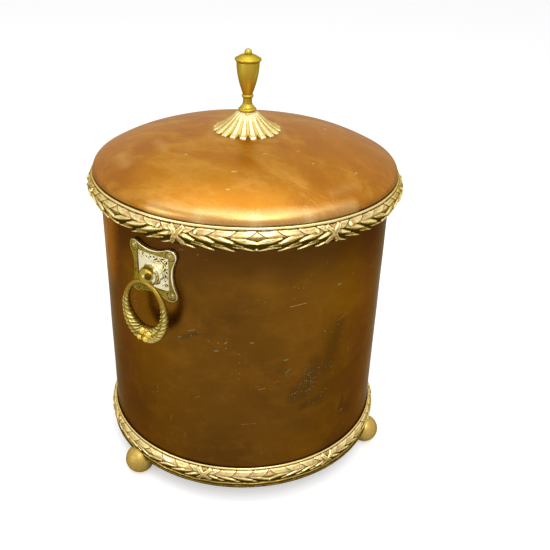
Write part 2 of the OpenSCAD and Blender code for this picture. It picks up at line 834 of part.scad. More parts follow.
module finial_cap() {
    rim = 1.5;
    color("goldenrod")
        translate([0, 0, mouth_z + fit]) {
            translate([0, 0, -spigot_h]) cylinder(r = spigot_r, h = spigot_h + rim, $fn = small_fn);
            rotate_extrude($fn = small_fn)
                polygon(concat(
                    [[0, 0], [urn_r, 0]],
                    [for (k = [0 : 6])
                        let (a = -60 + 120 * k / 6)
                        [cap_r - rim + rim * cos(a), 1 + rim * (1 + sin(a))]],
                    [for (k = [1 : 8])
                        let (s = k / 8)
                        [cap_r - rim - (cap_r - rim - button_r) * s,
                            1 + 2 * rim + (cap_h - 1 - 2 * rim) * sin(90 * s)]],
                    [for (k = [0 : 5])
                        let (a = 90 * k / 5)
                        [button_r * cos(a), cap_h + button_h / 2 * (1 + sin(a))]]
                ));
        }
}

module finial_stud() {
    color("darkkhaki")
        translate([0, 0, stud_foot_z])
            cylinder(r = stud_r, h = stud_top_z - stud_foot_z, $fn = small_fn);
}

module finial_washer() {
    top = stud_washer_top_z;
    color("darkkhaki")
        difference() {
            translate([0, 0, top - stud_washer_t])
                cylinder(r = stud_washer_r, h = stud_washer_t, $fn = small_fn);
            translate([0, 0, top - stud_washer_t - over])
                cylinder(r = stud_hole_r, h = stud_washer_t + 2 * over, $fn = small_fn);
        }
}

module finial_nut() {
    top = stud_washer_top_z - stud_washer_t;
    color("darkkhaki")
        difference() {
            translate([0, 0, top - stud_nut_t]) cylinder(r = stud_nut_r, h = stud_nut_t, $fn = 6);
            translate([0, 0, top - stud_nut_t - over])
                cylinder(r = stud_r + fit, h = stud_nut_t + 2 * over, $fn = small_fn);
        }
}

drum_shell();
base_ring();
base_plate();
base_garland();
ball_foot(0);  // left_foot
ball_foot(1);  // front_foot
ball_foot(2);  // rear_foot
foot_screws();
liner();
handle_plate(180);  // left_handle_plate
handle_plate(0);  // right_handle_plate
plate_rivets(180);  // left_plate_rivets
plate_rivets(0);  // right_plate_rivets
knob(180);  // left_knob
knob(0);  // right_knob
knob_washer(180);  // left_knob_washer
knob_washer(0);  // right_knob_washer
knob_nut(180);  // left_knob_nut
knob_nut(0);  // right_knob_nut
laurel_ring(180);  // left_ring
laurel_ring(0);  // right_ring
lid_dome();
lid_garland();
lid_seat_ring();
finial_rosette();
finial_collar();
finial_urn();
finial_cap();
finial_stud();
finial_washer();
finial_nut();
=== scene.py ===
"""Looks of a lidded copper coal scuttle with cast brass laurel garlands, ring handles and an urn finial.

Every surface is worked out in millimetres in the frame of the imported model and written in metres.
A bearing is an angle about the drum's axis: 0 looks along +Y from the front, 90 is on +X.
"""

import json
import logging
import math
from dataclasses import dataclass
from enum import Enum
from typing import Callable, Sequence, Union

import bpy
import numpy as np
from mathutils import Matrix, Vector


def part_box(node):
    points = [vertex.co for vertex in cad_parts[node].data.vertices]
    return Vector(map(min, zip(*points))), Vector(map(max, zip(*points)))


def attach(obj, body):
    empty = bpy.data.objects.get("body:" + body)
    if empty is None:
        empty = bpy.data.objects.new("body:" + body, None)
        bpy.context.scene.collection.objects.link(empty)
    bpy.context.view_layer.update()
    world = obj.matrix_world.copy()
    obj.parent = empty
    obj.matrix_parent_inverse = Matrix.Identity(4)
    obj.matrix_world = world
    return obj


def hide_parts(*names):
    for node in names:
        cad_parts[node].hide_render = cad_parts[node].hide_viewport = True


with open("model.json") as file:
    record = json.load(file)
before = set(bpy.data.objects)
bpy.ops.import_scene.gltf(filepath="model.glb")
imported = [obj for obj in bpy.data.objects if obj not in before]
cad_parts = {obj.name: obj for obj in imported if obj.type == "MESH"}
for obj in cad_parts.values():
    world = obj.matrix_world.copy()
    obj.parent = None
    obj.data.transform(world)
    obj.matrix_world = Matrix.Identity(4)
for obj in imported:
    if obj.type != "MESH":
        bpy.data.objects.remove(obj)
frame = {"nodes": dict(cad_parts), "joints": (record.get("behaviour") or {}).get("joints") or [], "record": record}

LOG = logging.getLogger("scuttle")
MM = 0.001
TAU = 2 * math.pi
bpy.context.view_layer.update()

# Sharp angle, in degrees, at which a mesh keeps no sharp edge.
SMOOTH = 180.0

Array = np.ndarray
Color = tuple[float, float, float, float]
Point = tuple[float, float, float]
Profile = list[tuple[float, float]]
Socket = bpy.types.NodeSocket
Value = Union[Socket, float, tuple, Vector]


# ---------------------------------------------------------------------------------------------
# Surfaces


def mm_box(node: str) -> tuple[Array, Array]:
    """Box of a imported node.

    Args:
        node: name of the node.
    Returns:
        Its lowest and highest corner, in millimetres.
    """
    low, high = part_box(node)
    return np.array(low) / MM, np.array(high) / MM


def smooth_step(edge0: float, edge1: float, x: Array) -> Array:
    """Smooth rise.

    Args:
        edge0: value where the rise starts.
        edge1: value where it ends.
        x: where it is wanted.
    Returns:
        3t^2 - 2t^3 of the share t of the way from edge0 to edge1, held to 0..1.
    """
    t = np.clip((x - edge0) / (edge1 - edge0), 0.0, 1.0)
    return t * t * (3.0 - 2.0 * t)


def ripple(a: Array, b: Array, waves: Sequence[tuple[float, float, float]]) -> Array:
    """Gentle unevenness of hand work.

    Args:
        a: first parameter, an angle in radians.
        b: second parameter, any length.
        waves: (turns round a, turns along b, phase) of each wave.
    Returns:
        The mean of sin(turns * a + turns * b + phase) over the waves.
    """
    return sum(np.sin(p * a + q * b + s) for p, q, s in waves) / len(waves)


def blurred(field: Array, across: int, along: int) -> Array:
    """Box blur of a grid that closes on itself along its first axis.

    Args:
        field: grid of values, rounds x rows.
        across: half-width of the box along the first axis.
        along: half-width of the box along the second axis.
    Returns:
        The blurred grid.
    """
    total = sum(np.roll(field, k, axis=0) for k in range(-across, across + 1)) / (2 * across + 1)
    padded = np.pad(total, ((0, 0), (along, along)), mode="edge")
    rows = field.shape[1]
    return sum(padded[:, k:k + rows] for k in range(2 * along + 1)) / (2 * along + 1)


def grid_faces(n: int, m: int, round_n: bool, round_m: bool) -> Array:
    """Quads of a grid.

    Args:
        n: points along the first axis.
        m: points along the second axis.
        round_n: the first axis closes on itself.
        round_m: the second axis closes on itself.
    Returns:
        Array of four point numbers per quad.
    """
    i = np.arange(n if round_n else n - 1)[:, None]
    j = np.arange(m if round_m else m - 1)[None, :]
    i2, j2 = (i + 1) % n, (j + 1) % m
    return np.stack([i * m + j, i2 * m + j, i2 * m + j2, i * m + j2], -1).reshape(-1, 4)


def fan(middle: int, columns: int, rows: int, row: int, flip: bool) -> Array:
    """Triangles from one point to a row of a grid that closes on itself along its first axis.

    Args:
        middle: number of the point.
        columns: points along the first axis.
        rows: points along the second axis.
        row: which place along the second axis the triangles reach.
        flip: turn the triangles over.
    Returns:
        Array of three point numbers per triangle.
    """
    here = np.arange(columns) * rows + row
    there = np.roll(here, -1)
    first, last = (here, there) if flip else (there, here)
    return np.stack([np.full(columns, middle), first, last], -1)


@dataclass
class Skin:
    """A surface as points and faces, in millimetres, with values held at its points."""

    points: Array
    faces: list[Array]
    values: dict[str, Array]

    @staticmethod
    def of_grid(points: Array, round_n: bool, round_m: bool, flip: bool = False,
                values: dict[str, Array] | None = None) -> "Skin":
        """Surface over a grid of points.

        Args:
            points: n x m x 3 points.
            round_n: the first axis closes on itself.
            round_m: the second axis closes on itself.
            flip: turn the faces over.
            values: n x m grids of values to keep at the points.
        Returns:
            The surface.
        """
        n, m = points.shape[:2]
        quads = grid_faces(n, m, round_n, round_m)
        if flip:
            quads = quads[:, ::-1]
        kept = {name: grid.reshape(-1) for name, grid in (values or {}).items()}
        return Skin(points.reshape(-1, 3), [quads], kept)

    def joined(self, others: Sequence["Skin"]) -> "Skin":
        """This surface and others as one, each left as its own island.

        Args:
            others: surfaces that hold the same values as this one.
        Returns:
            The surface of them all.
        """
        parts = [self, *others]
        starts = np.cumsum([0] + [len(p.points) for p in parts])
        faces = [f + start for p, start in zip(parts, starts) for f in p.faces]
        values = {k: np.concatenate([p.values[k] for p in parts]) for k in self.values}
        return Skin(np.concatenate([p.points for p in parts]), faces, values)

    def as_object(self, name: str, sharp_angle: float = SMOOTH) -> bpy.types.Object:
        """Makes the mesh object at the origin.

        Args:
            name: name of the piece.
            sharp_angle: edges that turn by more than this many degrees stay sharp.
        Returns:
            The object, linked to the scene.
        """
        mesh = bpy.data.meshes.new(name)
        sizes = np.concatenate([np.full(len(f), f.shape[1]) for f in self.faces])
        loops = np.concatenate([f.reshape(-1) for f in self.faces])
        mesh.vertices.add(len(self.points))
        mesh.vertices.foreach_set("co", (self.points * MM).astype(np.float32).ravel())
        mesh.loops.add(len(loops))
        mesh.loops.foreach_set("vertex_index", loops.astype(np.int32))
        mesh.polygons.add(len(sizes))
        starts = np.concatenate([[0], np.cumsum(sizes)[:-1]])
        mesh.polygons.foreach_set("loop_start", starts.astype(np.int32))
        mesh.polygons.foreach_set("use_smooth", np.ones(len(sizes), bool))
        mesh.update(calc_edges=True)
        for key, value in self.values.items():
            attribute = mesh.attributes.new(key, "FLOAT", "POINT")
            attribute.data.foreach_set("value", value.astype(np.float32))
        if sharp_angle < SMOOTH:
            mesh.set_sharp_from_angle(angle=math.radians(sharp_angle))
        mesh.validate()
        made = bpy.data.objects.new(name, mesh)
        bpy.context.scene.collection.objects.link(made)
        return made


def turned(profile: Sequence[tuple[float, float]], segments: int,
           warp: Callable[[Array, Array, Array], Array] | None = None) -> Skin:
    """Surface of revolution about Z, closed where the profile meets the axis.

    Each point (r, z) of the profile goes round as (r cos a, r sin a, z). Points on the axis
    become one pole each.

    Args:
        profile: (radius, height) points, up the outside; the first and last may be the same
            height on the axis, or the profile closes on itself.
        segments: columns round the axis.
        warp: takes angle, radius and height grids and returns how far to push r outwards.
    Returns:
        The surface.
    """
    outline = np.array(profile, float)
    pole_low, pole_high = outline[0, 0] < 1e-9, outline[-1, 0] < 1e-9
    rings = outline[int(pole_low):len(outline) - int(pole_high)]
    a = np.arange(segments)[:, None] * TAU / segments
    r = np.broadcast_to(rings[None, :, 0], (segments, len(rings)))
    z = np.broadcast_to(rings[None, :, 1], r.shape)
    if warp is not None:
        r = r + warp(np.broadcast_to(a, r.shape), r, z)
    grid = np.stack([r * np.cos(a), r * np.sin(a), z], -1)
    skin = Skin.of_grid(grid, True, not (pole_low or pole_high))
    rows = len(rings)
    for pole, end, row, flip in ((pole_low, 0, 0, False), (pole_high, -1, rows - 1, True)):
        if pole:
            skin.faces.append(fan(len(skin.points), segments, rows, row, flip))
            skin.points = np.vstack([skin.points, [0, 0, outline[end, 1]]])
    return skin


def arc(cx: float, cz: float, r: float, start: float, end: float, steps: int) -> Profile:
    """Points along an arc in the plane of a profile.

    Args:
        cx: centre's radius.
        cz: centre's height.
        r: radius of the arc.
        start: first angle in degrees, 0 outwards and 90 up.
        end: last angle.
        steps: intervals along it.
    Returns:
        (radius, height) points.
    """
    turns = [math.radians(start + (end - start) * k / steps) for k in range(steps + 1)]
    return [(cx + r * math.cos(t), cz + r * math.sin(t)) for t in turns]


# ---------------------------------------------------------------------------------------------
# Finishes


class Wiring:
    """Short-hand for adding and joining the nodes of one tree."""

    def __init__(self, tree: bpy.types.NodeTree) -> None:
        """Keeps the tree that the nodes go into."""
        self.tree = tree

    def add(self, kind: str, inputs: dict | None = None, **settings: object) -> bpy.types.Node:
        """Adds a node.

        Args:
            kind: Blender's name of the node type, without its ShaderNode prefix.
            inputs: value or socket for each input, by name or number.
            settings: properties of the node.
        Returns:
            The node.
        """
        node = self.tree.nodes.new(kind if kind.startswith("NodeGroup") else "ShaderNode" + kind)
        for key, value in settings.items():
            setattr(node, key, value)
        for key, value in (inputs or {}).items():
            self.put(node.inputs[key], value)
        return node

    def put(self, target: Socket, value: Value) -> None:
        """Joins a socket to an input, or sets the input to a plain value.

        Args:
            target: the input.
            value: the socket or value that it takes.
        """
        if isinstance(value, bpy.types.NodeSocket):
            self.tree.links.new(value, target)
        else:
            target.default_value = value

    def math(self, operation: str, a: Value, b: Value = 0.0, clamp: bool = False) -> Socket:
        """One Math node's result."""
        return self.add("Math", {0: a, 1: b}, operation=operation, use_clamp=clamp).outputs[0]

    def ramp(self, value: Socket, low: float, high: float, out_low: float = 0.0,
             out_high: float = 1.0) -> Socket:
        """A value carried smoothly from one range to another.

        Args:
            value: the value.
            low: where its range starts.
            high: where its range ends.
            out_low: what it becomes at low and below.
            out_high: what it becomes at high and above.
        Returns:
            The new value.
        """
        node = self.add("MapRange", {"Value": value, "From Min": low, "From Max": high,
                                     "To Min": out_low, "To Max": out_high},
                        interpolation_type="SMOOTHSTEP")
        return node.outputs["Result"]

    def mix(self, factor: Value, a: Value, b: Value) -> Socket:
        """Two colours mixed.

        Args:
            factor: how much of the second shows.
            a: the first colour.
            b: the second colour.
        Returns:
            The mixed colour.
        """
        node = self.add("Mix", data_type="RGBA", blend_type="MIX", clamp_factor=True)
        self.put(node.inputs["Factor"], factor)
        for key, value in (("A", a), ("B", b)):
            socket = [s for s in node.inputs if s.name == key and s.type == "RGBA"][0]
            self.put(socket, value)
        return [s for s in node.outputs if s.type == "RGBA"][0]

    def tint(self, tone: Value, mask: Value, share: Value, color: Value) -> Socket:
        """A colour laid over a tone where a mask is, up to a share of it."""
        return self.mix(self.math("MULTIPLY", mask, share), tone, color)

    def bump(self, bsdf: bpy.types.Node, height: Value, strength: float, distance: float) -> None:
        """Joins a shader's normal to a Bump node of a height."""
        node = self.add("Bump", {"Strength": strength, "Distance": distance, "Height": height})
        self.put(bsdf.inputs["Normal"], node.outputs["Normal"])

    def noise(self, vector: Socket, scale: Value, detail: float = 3.0, rough: float = 0.55,
              bend: float = 0.0) -> Socket:
        """A noise texture.

        Args:
            vector: coordinates that it reads.
            scale: its scale, per metre.
            detail: how many finer noises are laid over it.
            rough: how strong each finer one is.
            bend: how much it distorts its own coordinates.
        Returns:
            Its factor.
        """
        node = self.add("TexNoise", {"Vector": vector, "Scale": scale, "Detail": detail,
                                     "Roughness": rough, "Distortion": bend})
        return node.outputs["Fac"]

    def stretched(self, vector: Socket, scale: Point, turn: Point = (0, 0, 0)) -> Socket:
        """Coordinates scaled and turned, so that a pattern runs longer one way."""
        node = self.add("Mapping", {"Vector": vector, "Scale": scale, "Rotation": turn})
        return node.outputs["Vector"]


def rgb(red: int, green: int, blue: int) -> Color:
    """A colour written as it shows on a screen.

    Args:
        red, green, blue: 0 to 255.
    Returns:
        The scene-linear colour with full alpha.
    """
    def linear(c: int) -> float:
        """One channel made linear."""
        s = c / 255
        return s / 12.92 if s <= 0.04045 else ((s + 0.055) / 1.055) ** 2.4
    return linear(red), linear(green), linear(blue), 1.0


def new_group(name: str, inputs: dict[str, tuple[str, object]],
              outputs: dict[str, str]) -> tuple[Wiring, bpy.types.Node, bpy.types.Node]:
    """Makes an empty shader node group.

    Args:
        name: name of the group.
        inputs: socket type and start value by name.
        outputs: socket type by name.
    Returns:
        The wiring of the group, its input node and its output node.
    """
    tree = bpy.data.node_groups.new(name, "ShaderNodeTree")
    for key, (kind, value) in inputs.items():
        socket = tree.interface.new_socket(key, in_out="INPUT", socket_type=kind)
        if value is not None:
            socket.default_value = value
    for key, kind in outputs.items():
        tree.interface.new_socket(key, in_out="OUTPUT", socket_type=kind)
    wiring = Wiring(tree)
    entry = tree.nodes.new("NodeGroupInput")
    leave = tree.nodes.new("NodeGroupOutput")
    return wiring, entry, leave


FLOAT, COLOR, VECTOR = "NodeSocketFloat", "NodeSocketColor", "NodeSocketVector"


class Effect(Enum):
    """The effects that more than one finish uses, each a node group."""

    CLOUDS = "tarnish_clouds"
    SCUFFS = "handling_scuffs"
    SPECKS = "verdigris_specks"
    MARK = "single_mark"


def build_clouds() -> None:
    """Tarnish in soft patches: two noises, one large and one small, laid over each other."""
    w, entry, leave = new_group(Effect.CLOUDS.value, {
        "Vector": (VECTOR, None), "Scale": (FLOAT, 12.0), "Contrast": (FLOAT, 1.0)},
        {"Patches": FLOAT, "Mottle": FLOAT})
    large = w.noise(entry.outputs["Vector"], entry.outputs["Scale"], 4.0, 0.55, 0.6)
    fine_scale = w.math("MULTIPLY", entry.outputs["Scale"], 5.3)
    fine = w.noise(entry.outputs["Vector"], fine_scale, 5.0, 0.65)
    centred = w.math("SUBTRACT", large, 0.5)
    spread = w.math("MULTIPLY", centred, w.math("MULTIPLY", entry.outputs["Contrast"], 3.0))
    w.put(leave.inputs["Patches"], w.math("ADD", spread, 0.5, clamp=True))
    w.put(leave.inputs["Mottle"], w.ramp(fine, 0.3, 0.7))


def build_scuffs() -> None:
    """Fine rubbing marks: thin ridges of stretched noise, kept where a broad noise is high."""
    w, entry, leave = new_group(Effect.SCUFFS.value, {
        "Vector": (VECTOR, None), "Amount": (FLOAT, 0.5)}, {"Mask": FLOAT})
    marks: Value = 0.0
    for turn, along, across in ((0.35, 14.0, 420.0), (-0.5, 24.0, 600.0), (1.2, 30.0, 380.0)):
        long = w.stretched(entry.outputs["Vector"], (along, along, across), (turn, turn / 2, 0.0))
        ridge = w.math("ABSOLUTE", w.math("SUBTRACT", w.noise(long, 1.0, 2.0), 0.5))
        marks = w.math("MAXIMUM", marks, w.ramp(ridge, 0.0, 0.012, 1.0, 0.0))
    where = w.ramp(w.noise(entry.outputs["Vector"], 16.0, 3.0), 0.5, 0.68)
    w.put(leave.inputs["Mask"], w.math("MULTIPLY", w.math("MULTIPLY", marks, where),
                                       entry.outputs["Amount"], clamp=True))


def build_specks() -> None:
    """Corrosion specks: small cells of a Voronoi pattern, kept where a broad noise is high."""
    w, entry, leave = new_group(Effect.SPECKS.value, {
        "Vector": (VECTOR, None), "Scale": (FLOAT, 260.0), "Size": (FLOAT, 0.16),
        "Cover": (FLOAT, 0.5)}, {"Mask": FLOAT})
    cells = w.add("TexVoronoi", {"Vector": entry.outputs["Vector"], "Scale": entry.outputs["Scale"],
                                 "Randomness": 1.0})
    apart = w.math("SUBTRACT", 1.0, w.math("DIVIDE", cells.outputs["Distance"], entry.outputs["Size"]))
    drawn = w.add("SeparateColor", {"Color": cells.outputs["Color"]}).outputs[0]
    chosen = w.math("GREATER_THAN", drawn, 0.62)
    broad = w.noise(entry.outputs["Vector"], 22.0, 4.0, 0.6)
    patch = w.math("ADD", broad, w.math("SUBTRACT", entry.outputs["Cover"], 1.0))
    held = w.math("MULTIPLY", w.ramp(patch, 0.0, 0.06), chosen)
    w.put(leave.inputs["Mask"], w.math("MULTIPLY", w.ramp(apart, 0.0, 0.5), held, clamp=True))


def build_mark() -> None:
    """One mark: 1 within Width of the straight line between two points, falling to 0 outside.

    The nearest point of the line to P is A + t (B - A), with t = (P - A).(B - A) / |B - A|^2 held to 0..1.
    """
    w, entry, leave = new_group(Effect.MARK.value, {
        "Vector": (VECTOR, None), "Surface": (VECTOR, None), "A": (VECTOR, None), "B": (VECTOR, None),
        "Width": (FLOAT, 0.0006)}, {"Mask": FLOAT})

    def vector(operation: str, inputs: dict, output: str = "Vector") -> Socket:
        """One Vector Math node's result."""
        return w.add("VectorMath", inputs, operation=operation).outputs[output]

    line = vector("SUBTRACT", {0: entry.outputs["B"], 1: entry.outputs["A"]})
    away = vector("SUBTRACT", {0: entry.outputs["Vector"], 1: entry.outputs["A"]})
    span = vector("DOT_PRODUCT", {0: line, 1: line}, "Value")
    share = w.math("DIVIDE", vector("DOT_PRODUCT", {0: away, 1: line}, "Value"), span, clamp=True)
    along = vector("SCALE", {0: line, "Scale": share})
    gap = vector("LENGTH", {0: vector("SUBTRACT", {0: away, 1: along})}, "Value")
    rough = w.math("MULTIPLY", w.noise(entry.outputs["Surface"], 900.0, 2.0), entry.outputs["Width"])
    reach = w.math("MULTIPLY", entry.outputs["Width"], 1.2)
    ragged = w.math("ADD", gap, rough)
    w.put(leave.inputs["Mask"], w.math("SUBTRACT", 1.0, w.math("DIVIDE", ragged, reach), clamp=True))


def place(w: Wiring, effect: Effect, inputs: dict) -> bpy.types.Node:
    """Places one of the shared effects in a material.

    Args:
        w: wiring of the material.
        effect: which effect.
        inputs: value or socket for each of its inputs, by name.
    Returns:
        The group's node.
    """
    node = w.add("Group")
    node.node_tree = bpy.data.node_groups[effect.value]
    for key, value in inputs.items():
        w.put(node.inputs[key], value)
    return node


def new_material(name: str) -> tuple[bpy.types.Material, Wiring, bpy.types.Node, Socket]:
    """Starts a material.

    Args:
        name: name of the material.
    Returns:
        The material, its wiring, its Principled BSDF and its Object coordinates.
    """
    material = bpy.data.materials.new(name)
    material.use_nodes = True
    w = Wiring(material.node_tree)
    bsdf = material.node_tree.nodes["Principled BSDF"]
    return material, w, bsdf, w.add("TexCoord").outputs["Object"]


class Stain(Enum):
    """What a mark on the copper is, with its colour and how much of the metal's shine it hides; most are stains,
    two are painted light.
    """

    SCRATCH = (rgb(224, 176, 110), 0.0)
    VERDIGRIS = (rgb(126, 160, 120), 0.9)
    PALE = (rgb(226, 206, 160), 0.6)
    RED = (rgb(190, 84, 40), 0.3)
    # Painted reflection: a bright orange strip of reflected light down the drum's left side, not a stain.
    RUBBED = (rgb(214, 134, 20), 0.0)
    CLOUD = (rgb(214, 168, 112), 0.0)
    # Painted highlight: a pale band along the lid's front rim, where the lamps' highlight falls.
    WORN = (rgb(230, 192, 128), 0.0)
    CRUST = (rgb(72, 50, 16), 0.8)


@dataclass(frozen=True)
class Mark:
    """A straight mark on the copper: its two ends and half its width, in millimetres."""

    stain: Stain
    a: Point
    b: Point
    width: float
    share: float = 1.0

    @staticmethod
    def along(stain: Stain, radius: float, bearing: float, sweep: float, height: float, rise: float,
              width: float, share: float) -> "Mark":
        """A mark along a circle about the drum's axis.

        Args:
            stain: what it is.
            radius: radius of the circle.
            bearing: angle of its middle about the axis, in degrees.
            sweep: half the angle that it takes up, in radians.
            height: height of its middle.
            rise: how much higher its second end is than its middle.
            width: half its width.
            share: how strongly it covers.
        Returns:
            The mark.
        """
        turns = [(math.radians(bearing) + side * sweep, height + side * rise) for side in (-1, 1)]
        first, second = [(radius * math.sin(t), -radius * math.cos(t), z) for t, z in turns]
        return Mark(stain, first, second, width, share)

    @staticmethod
    def on_drum(stain: Stain, bearing: float, height: float, length: float, lean: float, width: float,
                share: float = 1.0, radius: float = 147.0) -> "Mark":
        """A mark on the drum's wall.

        Args:
            stain: what it is.
            bearing: angle of its middle about the drum's axis, in degrees.
            height: height of its middle.
            length: its length.
            lean: its rise from the level, in degrees.
            width: half its width.
            share: how strongly it covers.
            radius: radius of the wall.
        Returns:
            The mark.
        """
        rise = length / 2 * math.sin(math.radians(lean))
        sweep = length / 2 * math.cos(math.radians(lean)) / radius
        return Mark.along(stain, radius, bearing, sweep, height, rise, width, share)

    @staticmethod
    def on_lid(stain: Stain, bearing: float, radius: float, length: float, width: float,
               share: float = 1.0) -> "Mark":
        """A level mark on the lid, which is seen from above, so its height is nought."""
        return Mark.along(stain, radius, bearing, length / 2 / radius, 0.0, 0.0, width, share)


@dataclass(frozen=True)
class CopperFinish:
    """Old sheet copper: brown tarnish in clouds, rubbed lighter, with scratches, crust and green specks; painted
    shade, highlight and reflection lie in its colour too.

    shade gives two heights in metres and the share of painted shade at each, darker towards the drum's top under
    the lid and a dark line at the lid's lip; streaks says how many waves a metre the streaks have along each axis.
    """

    name: str
    body: Color
    light: Color
    dark: Color
    edge: Color
    rough: float
    cloud_scale: float
    scuff: float
    seen_from_above: bool
    streaks: Point
    streak: float
    coat: float
    shade: tuple[float, float, float, float]
    marks: tuple[Mark, ...]
    crust: tuple[Mark, ...] = ()
    coat_rough: float = 0.26
    # Colour of the painted shade laid by height: under the lid on the drum, and a dark line at the lid's lip.
    painted_shade: Color = rgb(74, 44, 12)
    crumb: Color = rgb(172, 150, 96)
    green: Color = rgb(100, 146, 122)
    dust: Color = rgb(200, 170, 116)

    def mask(self, w: Wiring, flat: Socket, at: Socket, mark: Mark) -> Socket:
        """Places one mark.

        Args:
            w: wiring of the material.
            flat: coordinates that the mark's ends are given in.
            at: coordinates on the surface, for its ragged edge.
            mark: the mark.
        Returns:
            Its mask.
        """
        inputs = {"Vector": flat, "Surface": at, "A": Vector(mark.a) * MM, "B": Vector(mark.b) * MM,
                  "Width": mark.width * MM}
        return w.math("MULTIPLY", place(w, Effect.MARK, inputs).outputs["Mask"], mark.share)

    def tarnish(self, w: Wiring, at: Socket, clouds: bpy.types.Node) -> Socket:
        """Colour of the sheet before its marks: clouds, rubbed places, streaks, mottle, scuffs and painted shade
        by height.

        Args:
            w: wiring of the material.
            at: coordinates on the surface.
            clouds: the placed clouds.
        Returns:
            The colour.
        """
        tone = w.mix(clouds.outputs["Patches"], self.dark, self.body)
        high = w.ramp(w.noise(at, self.cloud_scale * 0.8, 5.0, 0.6, 0.9), 0.5, 0.76)
        tone = w.tint(tone, high, 0.7, self.light)
        long = w.stretched(at, self.streaks, (0.0, 0.0, 0.6))
        tone = w.tint(tone, w.ramp(w.noise(long, 1.6, 6.0, 0.68, 0.4), 0.46, 0.66), self.streak, self.light)
        tone = w.tint(tone, clouds.outputs["Mottle"], 0.16, self.dark)
        scuffs = place(w, Effect.SCUFFS, {"Vector": at, "Amount": self.scuff})
        tone = w.tint(tone, scuffs.outputs["Mask"], 0.4, self.light)
        height = w.add("SeparateXYZ", {"Vector": at}).outputs["Z"]
        # Painted shade: darkens the colour between the two heights in shade.
        return w.mix(w.ramp(height, *self.shade), tone, self.painted_shade)

    def marked(self, w: Wiring, flat: Socket, at: Socket, tone: Socket) -> tuple[Socket, Value]:
        """Lays the marks over the tarnish in their order; the painted reflection strip is torn by a noise.

        Args:
            w: wiring of the material.
            flat: coordinates that the marks' ends are given in.
            at: coordinates on the surface.
            tone: the colour so far.
        Returns:
            The colour, and how matte the marks leave the sheet.
        """
        matte: Value = 0.0
        for mark in self.marks:
            mask = self.mask(w, flat, at, mark)
            color, dull = mark.stain.value
            # The painted reflection strip is broken up by a stretched noise.
            if mark.stain is Stain.RUBBED:
                torn = w.noise(w.stretched(at, (24, 24, 10)), 1.4, 5.0, 0.6, 0.8)
                mask = w.math("MULTIPLY", mask, w.ramp(torn, 0.34, 0.56, 0.5, 1.0))
            tone = w.mix(mask, tone, color)
            if dull:
                matte = w.math("MAXIMUM", matte, w.math("MULTIPLY", mask, dull))
        return tone, matte

    def crusted(self, w: Wiring, at: Socket, tone: Socket, matte: Value) -> tuple[Socket, Socket]:
        """Lays the crust over the marks: brown where it is thick, with pale and green crumbs.

        Args:
            w: wiring of the material.
            at: coordinates on the surface.
            tone: the colour so far.
            matte: how matte the sheet is so far.
        Returns:
            The colour and how matte the sheet is.
        """
        color, dull = Stain.CRUST.value
        where: Value = 0.0
        for mark in self.crust:
            where = w.math("MAXIMUM", where, self.mask(w, at, at, mark))
        dots = place(w, Effect.SPECKS, {"Vector": at, "Scale": 500.0, "Size": 0.36, "Cover": 0.545})
        crumbs = w.math("MULTIPLY", dots.outputs["Mask"], w.ramp(where, 0.1, 0.5))
        tone = w.tint(tone, w.ramp(where, 0.0, 0.55), 0.5, color)
        crumb = w.mix(w.ramp(w.noise(at, 90.0, 2.0), 0.46, 0.54), self.crumb, self.green)
        tone = w.tint(tone, crumbs, 0.75, crumb)
        return tone, w.math("MAXIMUM", matte, w.math("MULTIPLY", crumbs, dull))

    def material(self) -> bpy.types.Material:
        """Builds the material.

        Returns:
            The material.
        """
        material, w, bsdf, at = new_material(self.name)
        flat = w.stretched(at, (1, 1, 0)) if self.seen_from_above else at
        clouds = place(w, Effect.CLOUDS, {"Vector": at, "Scale": self.cloud_scale, "Contrast": 1.0})
        tone, matte = self.marked(w, flat, at, self.tarnish(w, at, clouds))
        if self.crust:
            tone, matte = self.crusted(w, at, tone, matte)
        dust = place(w, Effect.SPECKS, {"Vector": at, "Scale": 300.0, "Size": 0.2, "Cover": 0.47})
        w.put(bsdf.inputs["Base Color"], w.tint(tone, dust.outputs["Mask"], 0.5, self.dust))
        bsdf.inputs["Specular Tint"].default_value = self.edge
        bsdf.inputs["Coat Weight"].default_value = self.coat
        bsdf.inputs["Coat Roughness"].default_value = self.coat_rough
        w.put(bsdf.inputs["Metallic"], w.math("SUBTRACT", 1.0, matte))
        rough = w.math("ADD", self.rough, w.math("MULTIPLY", clouds.outputs["Patches"], -0.05))
        rough = w.math("ADD", rough, w.math("MULTIPLY", clouds.outputs["Mottle"], 0.05))
        w.put(bsdf.inputs["Roughness"], w.math("ADD", rough, w.math("MULTIPLY", matte, 0.35)))
        grain = w.noise(w.stretched(at, (40, 40, 110)), 3.0, 3.0)
        height = w.math("ADD", w.math("MULTIPLY", grain, 0.25), w.math("MULTIPLY", matte, 0.8))
        w.bump(bsdf, height, 0.1, 0.0004)
        return material


